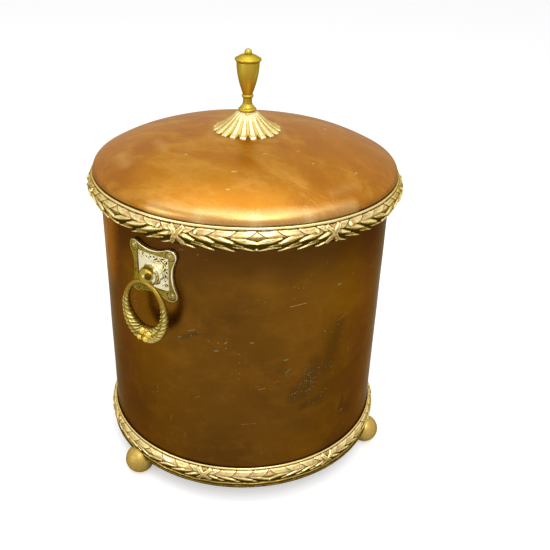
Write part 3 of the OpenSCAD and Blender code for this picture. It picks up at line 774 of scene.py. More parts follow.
@dataclass(frozen=True)
class BrassFinish:
    """Cast or turned brass: dark tarnish low down, rubbed bright on what stands up."""

    name: str
    deep: Color
    body: Color
    bright: Color
    rough: float
    cast: bool
    blush: Color = rgb(214, 164, 112)
    speckle: float = 0.35
    pits: float = 0.25
    edge: Color = rgb(196, 176, 120)

    def worn(self, w: Wiring, mottle: Socket) -> tuple[Socket, Socket]:
        """Colour and roughness of a cast piece, from the wear and blush values at its points, which on some pieces
        also hold painted highlights, shadow and a painted reflection.

        Args:
            w: wiring of the material.
            mottle: the clouds' fine mottle.
        Returns:
            The colour and the roughness.
        """
        uneven = w.math("MULTIPLY", w.math("SUBTRACT", mottle, 0.5), 0.16)
        wear = w.math("ADD", w.add("Attribute", attribute_name="wear").outputs["Fac"], uneven)
        low = w.ramp(wear, 0.10, 0.46)
        tone = w.mix(low, self.deep, self.body)
        blush = w.add("Attribute", attribute_name="blush").outputs["Fac"]
        tone = w.tint(tone, blush, low, self.blush)
        tone = w.mix(w.ramp(wear, 0.56, 0.84), tone, self.bright)
        return tone, w.ramp(wear, 0.1, 0.8, self.rough + 0.22, self.rough - 0.05)

    def material(self) -> bpy.types.Material:
        """Builds the material.

        Returns:
            The material.
        """
        material, w, bsdf, at = new_material(self.name)
        clouds = place(w, Effect.CLOUDS, {"Vector": at, "Scale": 60.0, "Contrast": 0.9}).outputs
        if self.cast:
            tone, rough = self.worn(w, clouds["Mottle"])
        else:
            tone = w.mix(clouds["Patches"], self.deep, self.body)
            tone = w.tint(tone, clouds["Mottle"], self.speckle, self.bright)
            rough = w.ramp(clouds["Patches"], 0.0, 1.0, self.rough + 0.1, self.rough - 0.05)
        w.put(bsdf.inputs["Base Color"], tone)
        bsdf.inputs["Specular Tint"].default_value = self.edge
        bsdf.inputs["Metallic"].default_value = 1.0
        w.put(bsdf.inputs["Roughness"], rough)
        w.bump(bsdf, w.noise(at, 1400.0, 3.0), self.pits, 0.0003)
        return material


@dataclass(frozen=True)
class SheetFinish:
    """Plain sheet that hides inside: zinc with its spangle, or tinned copper."""

    name: str
    body: Color
    other: Color
    rough: float

    def material(self) -> bpy.types.Material:
        """Builds the material: flat crystals a centimetre across, each a little lighter or darker.

        Returns:
            The material.
        """
        material, w, bsdf, at = new_material(self.name)
        cells = w.add("TexVoronoi", {"Vector": at, "Scale": 110.0})
        drawn = w.add("SeparateColor", {"Color": cells.outputs["Color"]}).outputs[0]
        clouds = place(w, Effect.CLOUDS, {"Vector": at, "Scale": 18.0, "Contrast": 0.8})
        tone = w.tint(self.body, drawn, 0.6, self.other)
        tone = w.tint(tone, clouds.outputs["Patches"], 0.4, self.other)
        w.put(bsdf.inputs["Base Color"], tone)
        bsdf.inputs["Metallic"].default_value = 1.0
        w.put(bsdf.inputs["Roughness"], w.ramp(drawn, 0.0, 1.0, self.rough, self.rough + 0.15))
        w.bump(bsdf, clouds.outputs["Mottle"], 0.1, 0.0003)
        return material


def dress(piece: bpy.types.Object, material: bpy.types.Material) -> None:
    """Gives a piece one material.

    Args:
        piece: the piece.
        material: what every slot of it gets.
    """
    slots = piece.data.materials
    if len(slots):
        for index in range(len(slots)):
            slots[index] = material
    else:
        slots.append(material)


def make_piece(skin: Skin, name: str, material: bpy.types.Material, body: str, node: str,
               sharp_angle: float = SMOOTH) -> None:
    """Makes a piece from its surface and seats it in the model.

    Args:
        skin: its surface.
        name: its name.
        material: its finish.
        body: the body that it rides.
        node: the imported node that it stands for.
        sharp_angle: edges that turn by more than this many degrees stay sharp.
    """
    piece = skin.as_object(name, sharp_angle)
    dress(piece, material)
    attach(piece, body)
    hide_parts(node)
    LOG.info("%s: %d faces, on %s", name, len(piece.data.polygons), body)


class Side(Enum):
    """Which side of the drum a handle is on; the value is the sign of X there."""

    LEFT = -1
    RIGHT = 1

    def named(self, piece: str) -> str:
        """Name of this side's piece or node."""
        return self.name.lower() + "_" + piece


# ---------------------------------------------------------------------------------------------
# Sub-assemblies


@dataclass
class Levels:
    """Heights and radii that several pieces share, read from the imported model, in millimetres."""

    base_z: float
    drum_z: float
    rim_z: float
    lip_z: float
    crown_z: float
    drum_r: float
    dome_r: float
    skirt_r: float

    @staticmethod
    def read() -> "Levels":
        """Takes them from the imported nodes' boxes.

        Returns:
            The heights and radii.
        """
        return Levels(
            base_z=mm_box("base_ring")[0][2], drum_z=mm_box("drum_shell")[0][2],
            rim_z=mm_box("drum_shell")[1][2], lip_z=mm_box("lid_dome")[0][2],
            crown_z=mm_box("lid_dome")[1][2], drum_r=mm_box("base_ring")[1][0],
            dome_r=mm_box("lid_dome")[1][0], skirt_r=mm_box("lid_seat_ring")[1][0])


@dataclass
class Drum:
    """The rolled copper drum with its wired rim, lap seam and slight dents."""

    levels: Levels
    material: bpy.types.Material
    sheet: float = 1.0
    wire_r: float = 2.0
    seam_bearing: float = 150.0
    seam_half: float = 5.0
    seam_t: float = 0.55
    slow: float = 0.22
    dented: float = 0.08
    inward: float = 0.1
    covered: float = 25.0
    segments: int = 540

    def warp(self, a: Array, r: Array, z: Array) -> Array:
        """How far the sheet is out of true.

        Sums of slow waves of the angle and the height, up to a quarter of a millimetre, fading
        to nothing at the foot and the rim; the seam's lap adds its own thickness.

        Args:
            a: angle of each point, in radians.
            r: its radius.
            z: its height.
        Returns:
            How far each point is pushed out.
        """
        lv = self.levels
        fade = smooth_step(lv.drum_z, lv.drum_z + 40, z) * smooth_step(lv.rim_z - 2, lv.rim_z - 40, z)
        soft = ripple(a, z, [(3, 0.021, 0.4), (5, -0.034, 1.9), (7, 0.05, 3.1), (2, 0.012, 5.0)])
        dents = ripple(a, z, [(11, 0.09, 0.2), (17, -0.07, 2.2), (13, 0.11, 4.0)])
        wall = r < lv.drum_r + 0.01
        seam = math.radians(self.seam_bearing - 90)
        off = np.abs((a - seam + math.pi) % TAU - math.pi) * lv.drum_r
        lap = smooth_step(self.seam_half + 0.4, self.seam_half - 0.4, off)
        outside = (r > lv.drum_r - 0.5 * self.sheet) & wall
        low, high = lv.base_z + self.covered, lv.rim_z - self.covered
        reach = smooth_step(low - 1, low + 1, z) * smooth_step(high + 1, high - 1, z)
        bent = (self.slow * soft + self.dented * dents - self.inward) * fade * wall
        return bent + self.seam_t * lap * reach * outside

    def build(self) -> None:
        """Outside of the wall up to the rolled wire, round it, and down the inside."""
        lv = self.levels
        inner = lv.drum_r - self.sheet
        wire_r, wire_x = self.wire_r, lv.drum_r - self.sheet / 2
        wire_z = lv.rim_z - wire_r
        heights = np.linspace(lv.drum_z, wire_z - wire_r - 0.6, 150)
        outside = [(lv.drum_r, z) for z in heights]
        round_wire = arc(wire_x, wire_z, wire_r, -70, 250, 28)
        inside = [(inner, z) for z in heights[::-2]] + [(inner, lv.drum_z)]
        skin = turned(outside + round_wire + inside[1:], self.segments, self.warp)
        make_piece(skin, "copper_drum", self.material, "drum", "drum_shell", 40)


@dataclass
class Dome:
    """The raised copper lid: turned-in lip, straight edge, round shoulder and flattening crown."""

    levels: Levels
    material: bpy.types.Material
    crown_z: float = 356.2
    sheet: float = 1.0
    edge_h: float = 1.8
    shoulder_r: float = 9.0
    shoulder_turn: float = 62.0
    hole_r: float = 2.7
    lip_round: float = 0.3
    sag: float = 0.35
    segments: int = 480

    def crown_edge(self) -> tuple[float, float]:
        """Where the shoulder ends and the crown begins.

        Returns:
            The radius and the height.
        """
        turn = math.radians(self.shoulder_turn)
        reach = self.levels.dome_r - self.shoulder_r + self.shoulder_r * math.cos(turn)
        return reach, self.levels.lip_z + self.edge_h + self.shoulder_r * math.sin(turn)

    def height_at(self, r: Array) -> Array:
        """Height of the crown at a radius.

        With t = r / crown radius, a share 0.44 t^2 + 0.56 t^4 of its rise is lost.

        Args:
            r: the radius.
        Returns:
            The height.
        """
        crown_r, foot = self.crown_edge()
        t = r / crown_r
        return self.crown_z - (self.crown_z - foot) * (0.44 * t ** 2 + 0.56 * t ** 4)

    def build(self) -> None:
        """Profile up the outside to the hole under the rosette and back down inside, turned round."""
        lv = self.levels
        x = lv.dome_r - self.shoulder_r
        edge = lv.lip_z + self.edge_h
        crown_r, _ = self.crown_edge()
        crown = np.linspace(crown_r, self.hole_r, 110)
        lip_x, lip_in = lv.dome_r - self.lip_round, lv.skirt_r - self.sheet
        outside = ([(lip_in, lv.lip_z), (lip_x, lv.lip_z)]
                   + arc(lip_x, lv.lip_z + self.lip_round, self.lip_round, -60, 0, 3)
                   + arc(x, edge, self.shoulder_r, 0, self.shoulder_turn, 22)
                   + [(r, float(self.height_at(r))) for r in crown[1:]])
        inside = ([(r, float(self.height_at(r)) - self.sheet) for r in crown[::-4]]
                  + arc(x, edge, self.shoulder_r - self.sheet, self.shoulder_turn - 4, 0, 8)
                  + [(lv.dome_r - self.sheet, lv.lip_z + self.sheet), (lip_in, lv.lip_z + self.sheet)])
        skin = turned(outside + inside, self.segments)
        p = skin.points
        a = np.arctan2(p[:, 1], p[:, 0])
        r = np.hypot(p[:, 0], p[:, 1])
        loose = smooth_step(38, 60, r) * smooth_step(crown_r + 4, crown_r - 18, r)
        push = ripple(a, r, [(3, 0.03, 0.7), (4, -0.05, 2.4), (7, 0.06, 1.1), (2, 0.09, 4.4)])
        p[:, 2] += self.sag * (push - 1.0) * loose
        make_piece(skin, "copper_lid", self.material, "lid", "lid_dome", 40)


@dataclass(frozen=True)
class Leaf:
    """One leaf in the flat of a garland: where it starts and ends, half its width, and how high it stands."""

    x0: float
    y0: float
    x1: float
    y1: float
    half: float
    rise: float
    rib: float = 0.0

    def height(self, x: Array, y: Array) -> Array:
        """Height of the leaf over the flat.

        With u the share of the way along it and t the distance to its side, the half-width is
        half * sin(pi u^0.8)^0.8, and the height is rise * (0.3 + 0.7 u) * sqrt(1 - (t / width)^2),
        with a rib along the middle.

        Args:
            x: distance from the tie along the band.
            y: height on the band.
        Returns:
            The height of the leaf, nought outside it.
        """
        dx, dy = self.x1 - self.x0, self.y1 - self.y0
        length = math.hypot(dx, dy)
        u = ((x - self.x0) * dx + (y - self.y0) * dy) / length ** 2
        t = (-(x - self.x0) * dy + (y - self.y0) * dx) / length
        inside = (u > 0) & (u < 1)
        s = np.clip(u, 0.0, 1.0)
        width = self.half * np.sin(math.pi * s ** 0.8) ** 0.8 + 1e-6
        round_ = np.sqrt(np.clip(1.0 - (t / width) ** 2, 0.0, 1.0))
        rib = self.rib * np.exp(-(t / 0.35) ** 2) * (width > 0.5)
        lifted = self.rise * (0.3 + 0.7 * s) * round_ + rib * round_
        return np.where(inside & (np.abs(t) < width), lifted, 0.0)


@dataclass(frozen=True)
class LeafRow:
    """A smooth row of overlapping leaves along the top of a garland, each ending in a curved line."""

    low: float
    high: float
    rise: float
    pitch: float
    sweep: float

    def height(self, x: Array, y: Array) -> tuple[Array, Array]:
        """Height of the row over the flat, and where its painted shadow lines at the leaf ends are.

        With q the share of the way up the row, the end line of a leaf lies sweep * (1 - sqrt q) short
        of its tip, and f is the share of the way along the leaf to that line. The height is
        rise * (0.35 + 0.65 f^0.8), rounded off at the foot of the row and let down at the line.

        Args:
            x: distance from the tie along the band.
            y: height on the band.
        Returns:
            The height, and a share that is 1 on the painted shadow lines at the leaf ends.
        """
        q = np.clip((y - self.low) / (self.high - self.low), 0.0, 1.0)
        phase = (x + self.sweep * (1.0 - np.sqrt(q))) / self.pitch
        f = phase - np.floor(phase)
        along = (0.35 + 0.65 * f ** 0.8) * smooth_step(1.0, 0.95, f)
        inside = smooth_step(self.low - 0.2, self.low + 0.8, y)
        inside = inside * smooth_step(self.high + 0.3, self.high - 0.2, y)
        # Painted shadow line at each leaf's end.
        line = np.exp(-(np.minimum(f, 1 - f) * self.pitch / 0.75) ** 2) * inside
        return self.rise * along * inside, line


# Leaf sections round each garland.
SECTIONS = 7


@dataclass
class Garland:
    """A cast laurel band: seven sections of leaves that run from crossed ribbons to a meeting point."""

    name: str
    node: str
    body: str
    material: bpy.types.Material
    back_r: float
    low_z: float
    band_h: float
    tie_bearing: float
    swell: Sequence[tuple[float, float]]
    row: LeafRow
    leaves: Sequence[Leaf]
    tips: Sequence[Leaf]
    berries: Sequence[tuple[float, float, float]]
    bead_z: float
    bead_r: float
    tie_z: float
    tie_reach: tuple[float, float]
    shade_z: float
    tip_drop: float
    max_r: float
    strap_x: float = 6.4
    strap_half: float = 2.1
    strap_t: float = 1.7
    half_columns: int = 118
    rows: int = 56

    def ribbons(self, x: Array, y: Array) -> Array:
        """Height of the crossed straps over the swell: flat bands with a raised edge, nought elsewhere.

        Args:
            x: distance from the tie along the band.
            y: height on the band.
        Returns:
            The height.
        """
        ribbon = np.zeros_like(y)
        for end in self.tie_reach:
            dy = end - self.tie_z
            length = math.hypot(self.strap_x, dy)
            u = (x * self.strap_x + (y - self.tie_z) * dy) / length ** 2
            t = np.abs((-x * dy + (y - self.tie_z) * self.strap_x) / length)
            strap = smooth_step(self.strap_half, self.strap_half - 0.3, t) * (u > -0.2)
            strap = strap * smooth_step(1.04, 0.98, u)
            edge = np.exp(-((t - 1.5) / 0.3) ** 2) * 0.3
            ribbon = np.maximum(ribbon, strap * (self.strap_t + edge + 0.5 * (1 - u)))
        return ribbon

    def relief(self, x: Array, y: Array) -> tuple[Array, Array, Array]:
        """Height of the face over the flat of half a section.

        Args:
            x: distance from the tie along the band, in millimetres.
            y: height on the band.
        Returns:
            The stand-out, the share of tan on the upper row and straps, and how dark each point is: painted shadow
            lines at the leaf ends, and darker towards the bottom of the band.
        """
        zs, outs = zip(*self.swell)
        base = np.interp(y, zs, outs)
        row, line = self.row.height(x, y)
        top = row
        for leaf in (*self.leaves, *self.tips):
            top = np.maximum(top, leaf.height(x, y))
        for across, up, size in self.berries:
            ball = np.sqrt(np.clip(size ** 2 - (x - across) ** 2 - (y - up) ** 2, 0, None))
            top = np.maximum(top, 1.3 * ball)
        bead = np.sqrt(np.clip(1 - ((y - self.bead_z) / self.bead_r) ** 2, 0, 1)) * self.bead_r * 0.9
        ribbon = self.ribbons(x, y)
        near = smooth_step(8.0, 5.4, x)
        leafy = base + top + bead - 0.5 * near * (top > 0)
        out = np.where(ribbon > 0, base * (1 - 0.1 * near) + ribbon, leafy)
        plain = (row >= top - 1e-6) & (row > 0.05)
        tan = np.where(ribbon > 0, 0.55, np.where(plain, 0.9, 0.0))
        low = smooth_step(self.shade_z + 2, self.shade_z - 1, y)
        # Painted shadow along each leaf end of the upper row; besides, darker towards the bottom of the band, most
        # where no leaf stands.
        shade = 0.5 * line * plain + low * (0.12 + 0.3 * smooth_step(0.7, 0.1, top))
        return out, tan, np.where(ribbon > 0, 0.12, shade - 0.25 * (bead > 0))

    def build(self) -> None:
        """Lays the relief of half a section fourteen times round, back to back, and closes it behind.

        The place along the band and the height are shifted a little by slow waves first, so that no
        two leaves are quite alike.
        """
        half = self.back_r * math.pi / SECTIONS
        x = np.linspace(0, half, self.half_columns, endpoint=False) + half / self.half_columns / 2
        x = np.tile(np.concatenate([x, x[::-1]]), SECTIONS)[:, None]
        n = len(x)
        turn = (np.arange(n)[:, None] + 0.5) * TAU / n + math.radians(self.tie_bearing - 90)
        drop = np.zeros_like(x)
        for leaf in self.tips:
            rise = np.clip((x - leaf.x0) / (leaf.x1 - leaf.x0), 0, 1)
            drop = np.maximum(drop, np.where((x > leaf.x0) & (x <= leaf.x1 + 0.4), rise ** 2, 0))
        v = np.linspace(0, 1, self.rows)[None, :]
        up = -self.tip_drop * drop + v * (self.band_h + self.tip_drop * drop)
        inner = smooth_step(0.0, 3.0, up) * smooth_step(self.band_h, self.band_h - 4.0, up)
        x_bent = x + 0.9 * ripple(turn, up, [(23, 0.5, 0.3), (41, -0.7, 1.0), (9, 0.4, 2.0)]) * inner
        up_bent = up + 0.5 * ripple(turn, up, [(31, 0.3, 2.3), (47, -0.5, 0.4), (12, 0.2, 4.0)]) * inner
        face, tan, shade = self.relief(x_bent, up_bent)
        face = face + 0.10 * ripple(turn, up, [(29, 0.8, 0.3), (53, -1.1, 1.0), (17, 0.5, 2.0)])
        level = blurred(face, 8, 7)
        close = blurred(face, 2, 2)
        # Painted light: slopes that face up are made brighter, as lit from above.
        top_light = np.clip(-np.gradient(face, axis=1) / 0.5, -0.6, 1.0)
        wear = np.clip(0.47 + 0.32 * (face - level) + 0.6 * (face - close) + 0.22 * top_light - shade, 0, 1)
        r = np.minimum(self.back_r + face, self.max_r)
        front = np.stack([r * np.cos(turn), r * np.sin(turn), self.low_z + up], -1)
        back_up = self.low_z + np.array([[self.band_h, self.band_h / 2, 0.0]]) + 0 * turn
        back_r = self.back_r + 0 * back_up
        back = np.stack([back_r * np.cos(turn), back_r * np.sin(turn), back_up], -1)
        still = np.zeros((n, 3))
        skin = Skin.of_grid(np.concatenate([front, back], axis=1), True, True, values={
            "wear": np.concatenate([wear, still], axis=1), "blush": np.concatenate([tan, still], axis=1)})
        make_piece(skin, self.name, self.material, self.body, self.node)


def leaf_ends(back_r: float) -> tuple[float, float, list[float]]:
    """Half a section's length, the pitch of its leaves and where they end, from the meeting point back."""
    half = back_r * math.pi / SECTIONS
    return half, half / 4, [half - half / 4 * k for k in range(5)]


def lid_garland(levels: Levels, material: bpy.types.Material) -> Garland:
    """The lid's garland, whose lowest leaves hang past its edge.

    Args:
        levels: the shared heights and radii.
        material: its finish.
    Returns:
        The garland.
    """
    back_r = levels.skirt_r + 0.15
    half, pitch, ends = leaf_ends(back_r)
    middle = [Leaf(end - 1.3 * pitch, 13.9, end, 8.8, 2.3, 2.5, 0.35) for end in ends[1:]]
    middle.append(Leaf(half - 1.25 * pitch, 13.2, half + 5.0, 7.6, 2.4, 2.4, 0.3))
    under = [Leaf(end - 0.8 * pitch, 9.4, end + 0.45 * pitch, 4.4, 1.5, 1.0, 0.2) for end in ends[1:]]
    tips = [Leaf(end - 1.25 * pitch, 5.0, end - 0.8, -0.7, 1.75, 2.2, 0.25) for end in ends[1:]]
    tips.append(Leaf(half - 1.25 * pitch, 3.8, half - 0.6, 0.3, 1.6, 2.0, 0.25))
    swell = [(-1.5, 1.0), (0, 1.4), (2.9, 3.2), (5.9, 4.4), (9.2, 6.1), (12.5, 6.1), (15.6, 5.3), (18.4, 3.4),
             (19.0, 2.0), (22.0, 2.2)]
    return Garland(
        "lid_laurel", "lid_garland", "lid", material, back_r, low_z=levels.lip_z - 22.0, band_h=21.95,
        tie_bearing=-26.7, swell=swell, row=LeafRow(13.6, 18.8, 1.1, pitch, 12.0), leaves=middle + under,
        tips=tips, berries=[(half, 1.4, 1.8), (pitch, 15.6, 2.2)], bead_z=20.5, bead_r=1.5, tie_z=11.2,
        tie_reach=(18.8, 0.6), shade_z=9.0, tip_drop=1.05, max_r=mm_box("lid_garland")[1][1] - 0.02)


def base_garland(levels: Levels, material: bpy.types.Material) -> Garland:
    """The base garland, with a plain flange below its leaves.

    Args:
        levels: the shared heights and radii.
        material: its finish.
    Returns:
        The garland.
    """
    back_r = levels.drum_r + 0.15
    half, pitch, ends = leaf_ends(back_r)
    middle = [Leaf(end - 1.25 * pitch, 15.4, end, 11.0, 1.9, 1.9, 0.3) for end in ends[1:]]
    middle.append(Leaf(half - 1.2 * pitch, 14.8, half + 4.0, 10.0, 1.9, 1.8, 0.25))
    lower = [Leaf(end - 0.95 * pitch, 12.2, end + 0.3 * pitch, 7.6, 1.5, 1.4, 0.25) for end in ends]
    swell = [(0, 4.0), (0.6, 4.5), (2.2, 4.4), (2.8, 3.9), (4.9, 3.8), (5.6, 2.2), (6.8, 2.2), (9.0, 3.1),
             (11.8, 4.2), (14.2, 4.8), (17.2, 4.2), (20.2, 2.6), (21.2, 1.0), (23.7, 1.0)]
    return Garland(
        "base_laurel", "base_garland", "drum", material, back_r, low_z=levels.base_z, band_h=23.7,
        tie_bearing=-19.5, swell=swell, row=LeafRow(15.2, 20.8, 1.0, pitch, 11.0), leaves=middle + lower,
        tips=[], berries=[(half, 8.4, 1.5)], bead_z=22.5, bead_r=1.1, tie_z=13.2, tie_reach=(21.0, 6.6),
        shade_z=11.0, tip_drop=0.0, max_r=mm_box("base_garland")[1][1] - 0.02)


@dataclass
class LaurelRing:
    """A drop ring: a thin bar through the knob swells into two leaf sprays with berries where they meet."""

    side: Side
    material: bpy.types.Material
    bar_r: float = 2.0
    end_r: float = 9.0
    share: float = 0.68
    half_w: float = 22.6
    half_h: float = 27.4
    leaves: int = 21
    lean: float = 3.0
    columns: int = 560
    lanes: int = 72

    def build(self, centre_x: float, eye_z: float) -> None:
        """Carries a round section along the oval and raises slanting leaves on it.

        At angle a down from the eye, with w = (1 - cos a) / 2, the body's radius is
        bar + (end - bar)(0.35 w + 0.65 w^3), and the centre line is (half_w sin a, -2 half_h w). Leaves
        slant from the outside of the oval to its inside in two overlapping lanes: with u from 0 outside
        to 1 inside, the phase of a leaf is leaves * a / pi - 1.3 lean * u * body / end, and the lanes
        are 0.4 of a leaf apart.

        Args:
            centre_x: how far out the ring's middle hangs.
            eye_z: height of the bar in the knob.
        """
        sign = self.side.value
        a = np.arange(self.columns)[:, None] * TAU / self.columns
        b = np.arange(self.lanes)[None, :] * TAU / self.lanes
        down = np.minimum(a, TAU - a)
        w = (1 - np.cos(a)) / 2
        body = self.bar_r + (self.end_r - self.bar_r) * (0.35 * w + 0.65 * w ** 3)
        u = (1 - np.cos(b)) / 2 + 0 * a
        across = np.abs(2 * (2 * u % 1.0) - 1)
        lane = np.floor(2 * u * 0.999)
        bent = down + 0.02 * ripple(down * 9, b, [(1, 2, 0.3), (2, -3, 1.1)])
        phase = self.leaves * bent / math.pi - self.lean * u * body / self.end_r * 1.3 + 0.4 * lane
        f = phase - np.floor(phase)
        leaf = f ** 0.6 * smooth_step(1.0, 0.86, f)
        ridge = 1.0 - 0.55 * across ** 2.2
        shape = leaf * ridge
        grown = smooth_step(0.85, 1.5, down) * smooth_step(math.pi, math.pi - 0.16, down)
        r = body + body * (0.27 * shape - 0.15) * grown
        depth = 1 - (1 - self.share) * (body - self.bar_r) / (self.end_r - self.bar_r)
        tilt = np.arctan2(self.half_h * np.sin(a), self.half_w * np.cos(a))
        out = r * np.cos(b)
        points = np.stack([
            sign * (centre_x + depth * r * np.sin(b)),
            -sign * (self.half_w * np.sin(a) + out * np.sin(tilt)),
            eye_z - 2 * self.half_h * w + out * np.cos(tilt)], -1)
        wear = np.clip(0.14 + 0.80 * shape, 0, 1) * grown + (0.46 + 0.1 * np.cos(b)) * (1 - grown)
        skin = Skin.of_grid(points, True, True, flip=True, values={"wear": wear, "blush": 0 * wear})
        bottom = np.array([sign * centre_x, 0.0, eye_z - 2 * self.half_h])
        front = ((-6.6, 3.6, 3.9, 3.9), (0.8, 5.4, 3.8, 4.0), (-2.8, -2.4, 4.2, 3.6), (4.2, -2.2, 4.6, 3.0))
        back = ((-3.2, 0, 4.4, 2.6), (3.2, 0, 4.4, 2.6))
        berries = [self.berry(bottom, facing, *place_and_size)
                   for facing, some in ((sign, front), (-sign, back)) for place_and_size in some]
        make_piece(skin.joined(berries), self.side.named("laurel_ring"), self.material,
                   self.side.named("ring"), self.side.named("ring"))

    def berry(self, bottom: Array, sign: int, y: float, z: float, out: float, r: float) -> Skin:
        """A round berry sunk in the ring's body.

        Args:
            bottom: the middle of the ring's thickest place.
            sign: which way the berry faces, along X.
            y, z: its place across the ring, from that middle.
            out: distance of its centre from that middle, along X.
            r: its radius.
        Returns:
            The ball's surface.
        """
        ball = turned([(0, -r)] + arc(0, 0, r, -80, 80, 10) + [(0, r)], 20)
        ball.points = ball.points + bottom + np.array([sign * out, y, z])
        ball.values = {"wear": np.full(len(ball.points), 0.52), "blush": np.full(len(ball.points), 0.9)}
        return ball


@dataclass
class Knob:
    """The ball that the ring hangs in, on a flared foot, with a painted dark reflection where it faces the camera
    and a painted highlight down one side.
    """

    side: Side
    material: bpy.types.Material
    foot_x: float = 149.2
    flare_r: float = 11.4
    flare_h: float = 2.8
    ball_r: float = 9.6
    ball_x: float = 154.9
    ball_z: float = 257.2
    # Direction in the knob's own frame that the ball's painted dark reflection faces: toward the camera.
    reflection_spot: tuple[float, float, float] = (0.56, 0.40, 0.73)

    def build(self) -> None:
        """Turns the profile about the knob's own axis and lays that axis along X.

        The foot flares by (1 - s)^2 of the way s up it, and the ball is an arc.
        """
        sign = self.side.value
        lift = self.ball_x - self.foot_x
        waist = math.sqrt(self.ball_r ** 2 - (lift - self.flare_h) ** 2)
        shares = [k / 6 for k in range(6)]
        flare = [(waist + (self.flare_r - waist) * (1 - s) ** 2, self.flare_h * s) for s in shares]
        start = math.degrees(math.asin((self.flare_h - lift) / self.ball_r))
        ball = arc(0, lift, self.ball_r, start, 86, 28)
        skin = turned([(0, 0)] + flare + ball + [(0, lift + self.ball_r)], 72)
        away = (skin.points - np.array([0, 0, lift])) / self.ball_r
        # Painted reflection: a dark brown patch where the ball faces the camera, darker and in the second colour.
        toward = away @ np.array(self.reflection_spot)
        reflection_spot = smooth_step(0.925, 0.965, toward)
        low = smooth_step(self.flare_h + 3, self.flare_h, skin.points[:, 2])
        # Painted highlight: a bright crescent down one side of the ball.
        side_highlight = smooth_step(0.5, 0.75, away[:, 0]) * smooth_step(0.93, 0.8, toward)
        skin.values = {"wear": 0.46 + 0.5 * low + 0.4 * side_highlight - 0.4 * reflection_spot, "blush": reflection_spot}
        x, y, up = skin.points.T
        skin.points = np.stack([sign * (up + self.foot_x), sign * x, y + self.ball_z], -1)
        make_piece(skin, self.side.named("ball_knob"), self.material, "drum",
                   self.side.named("knob"), 40)


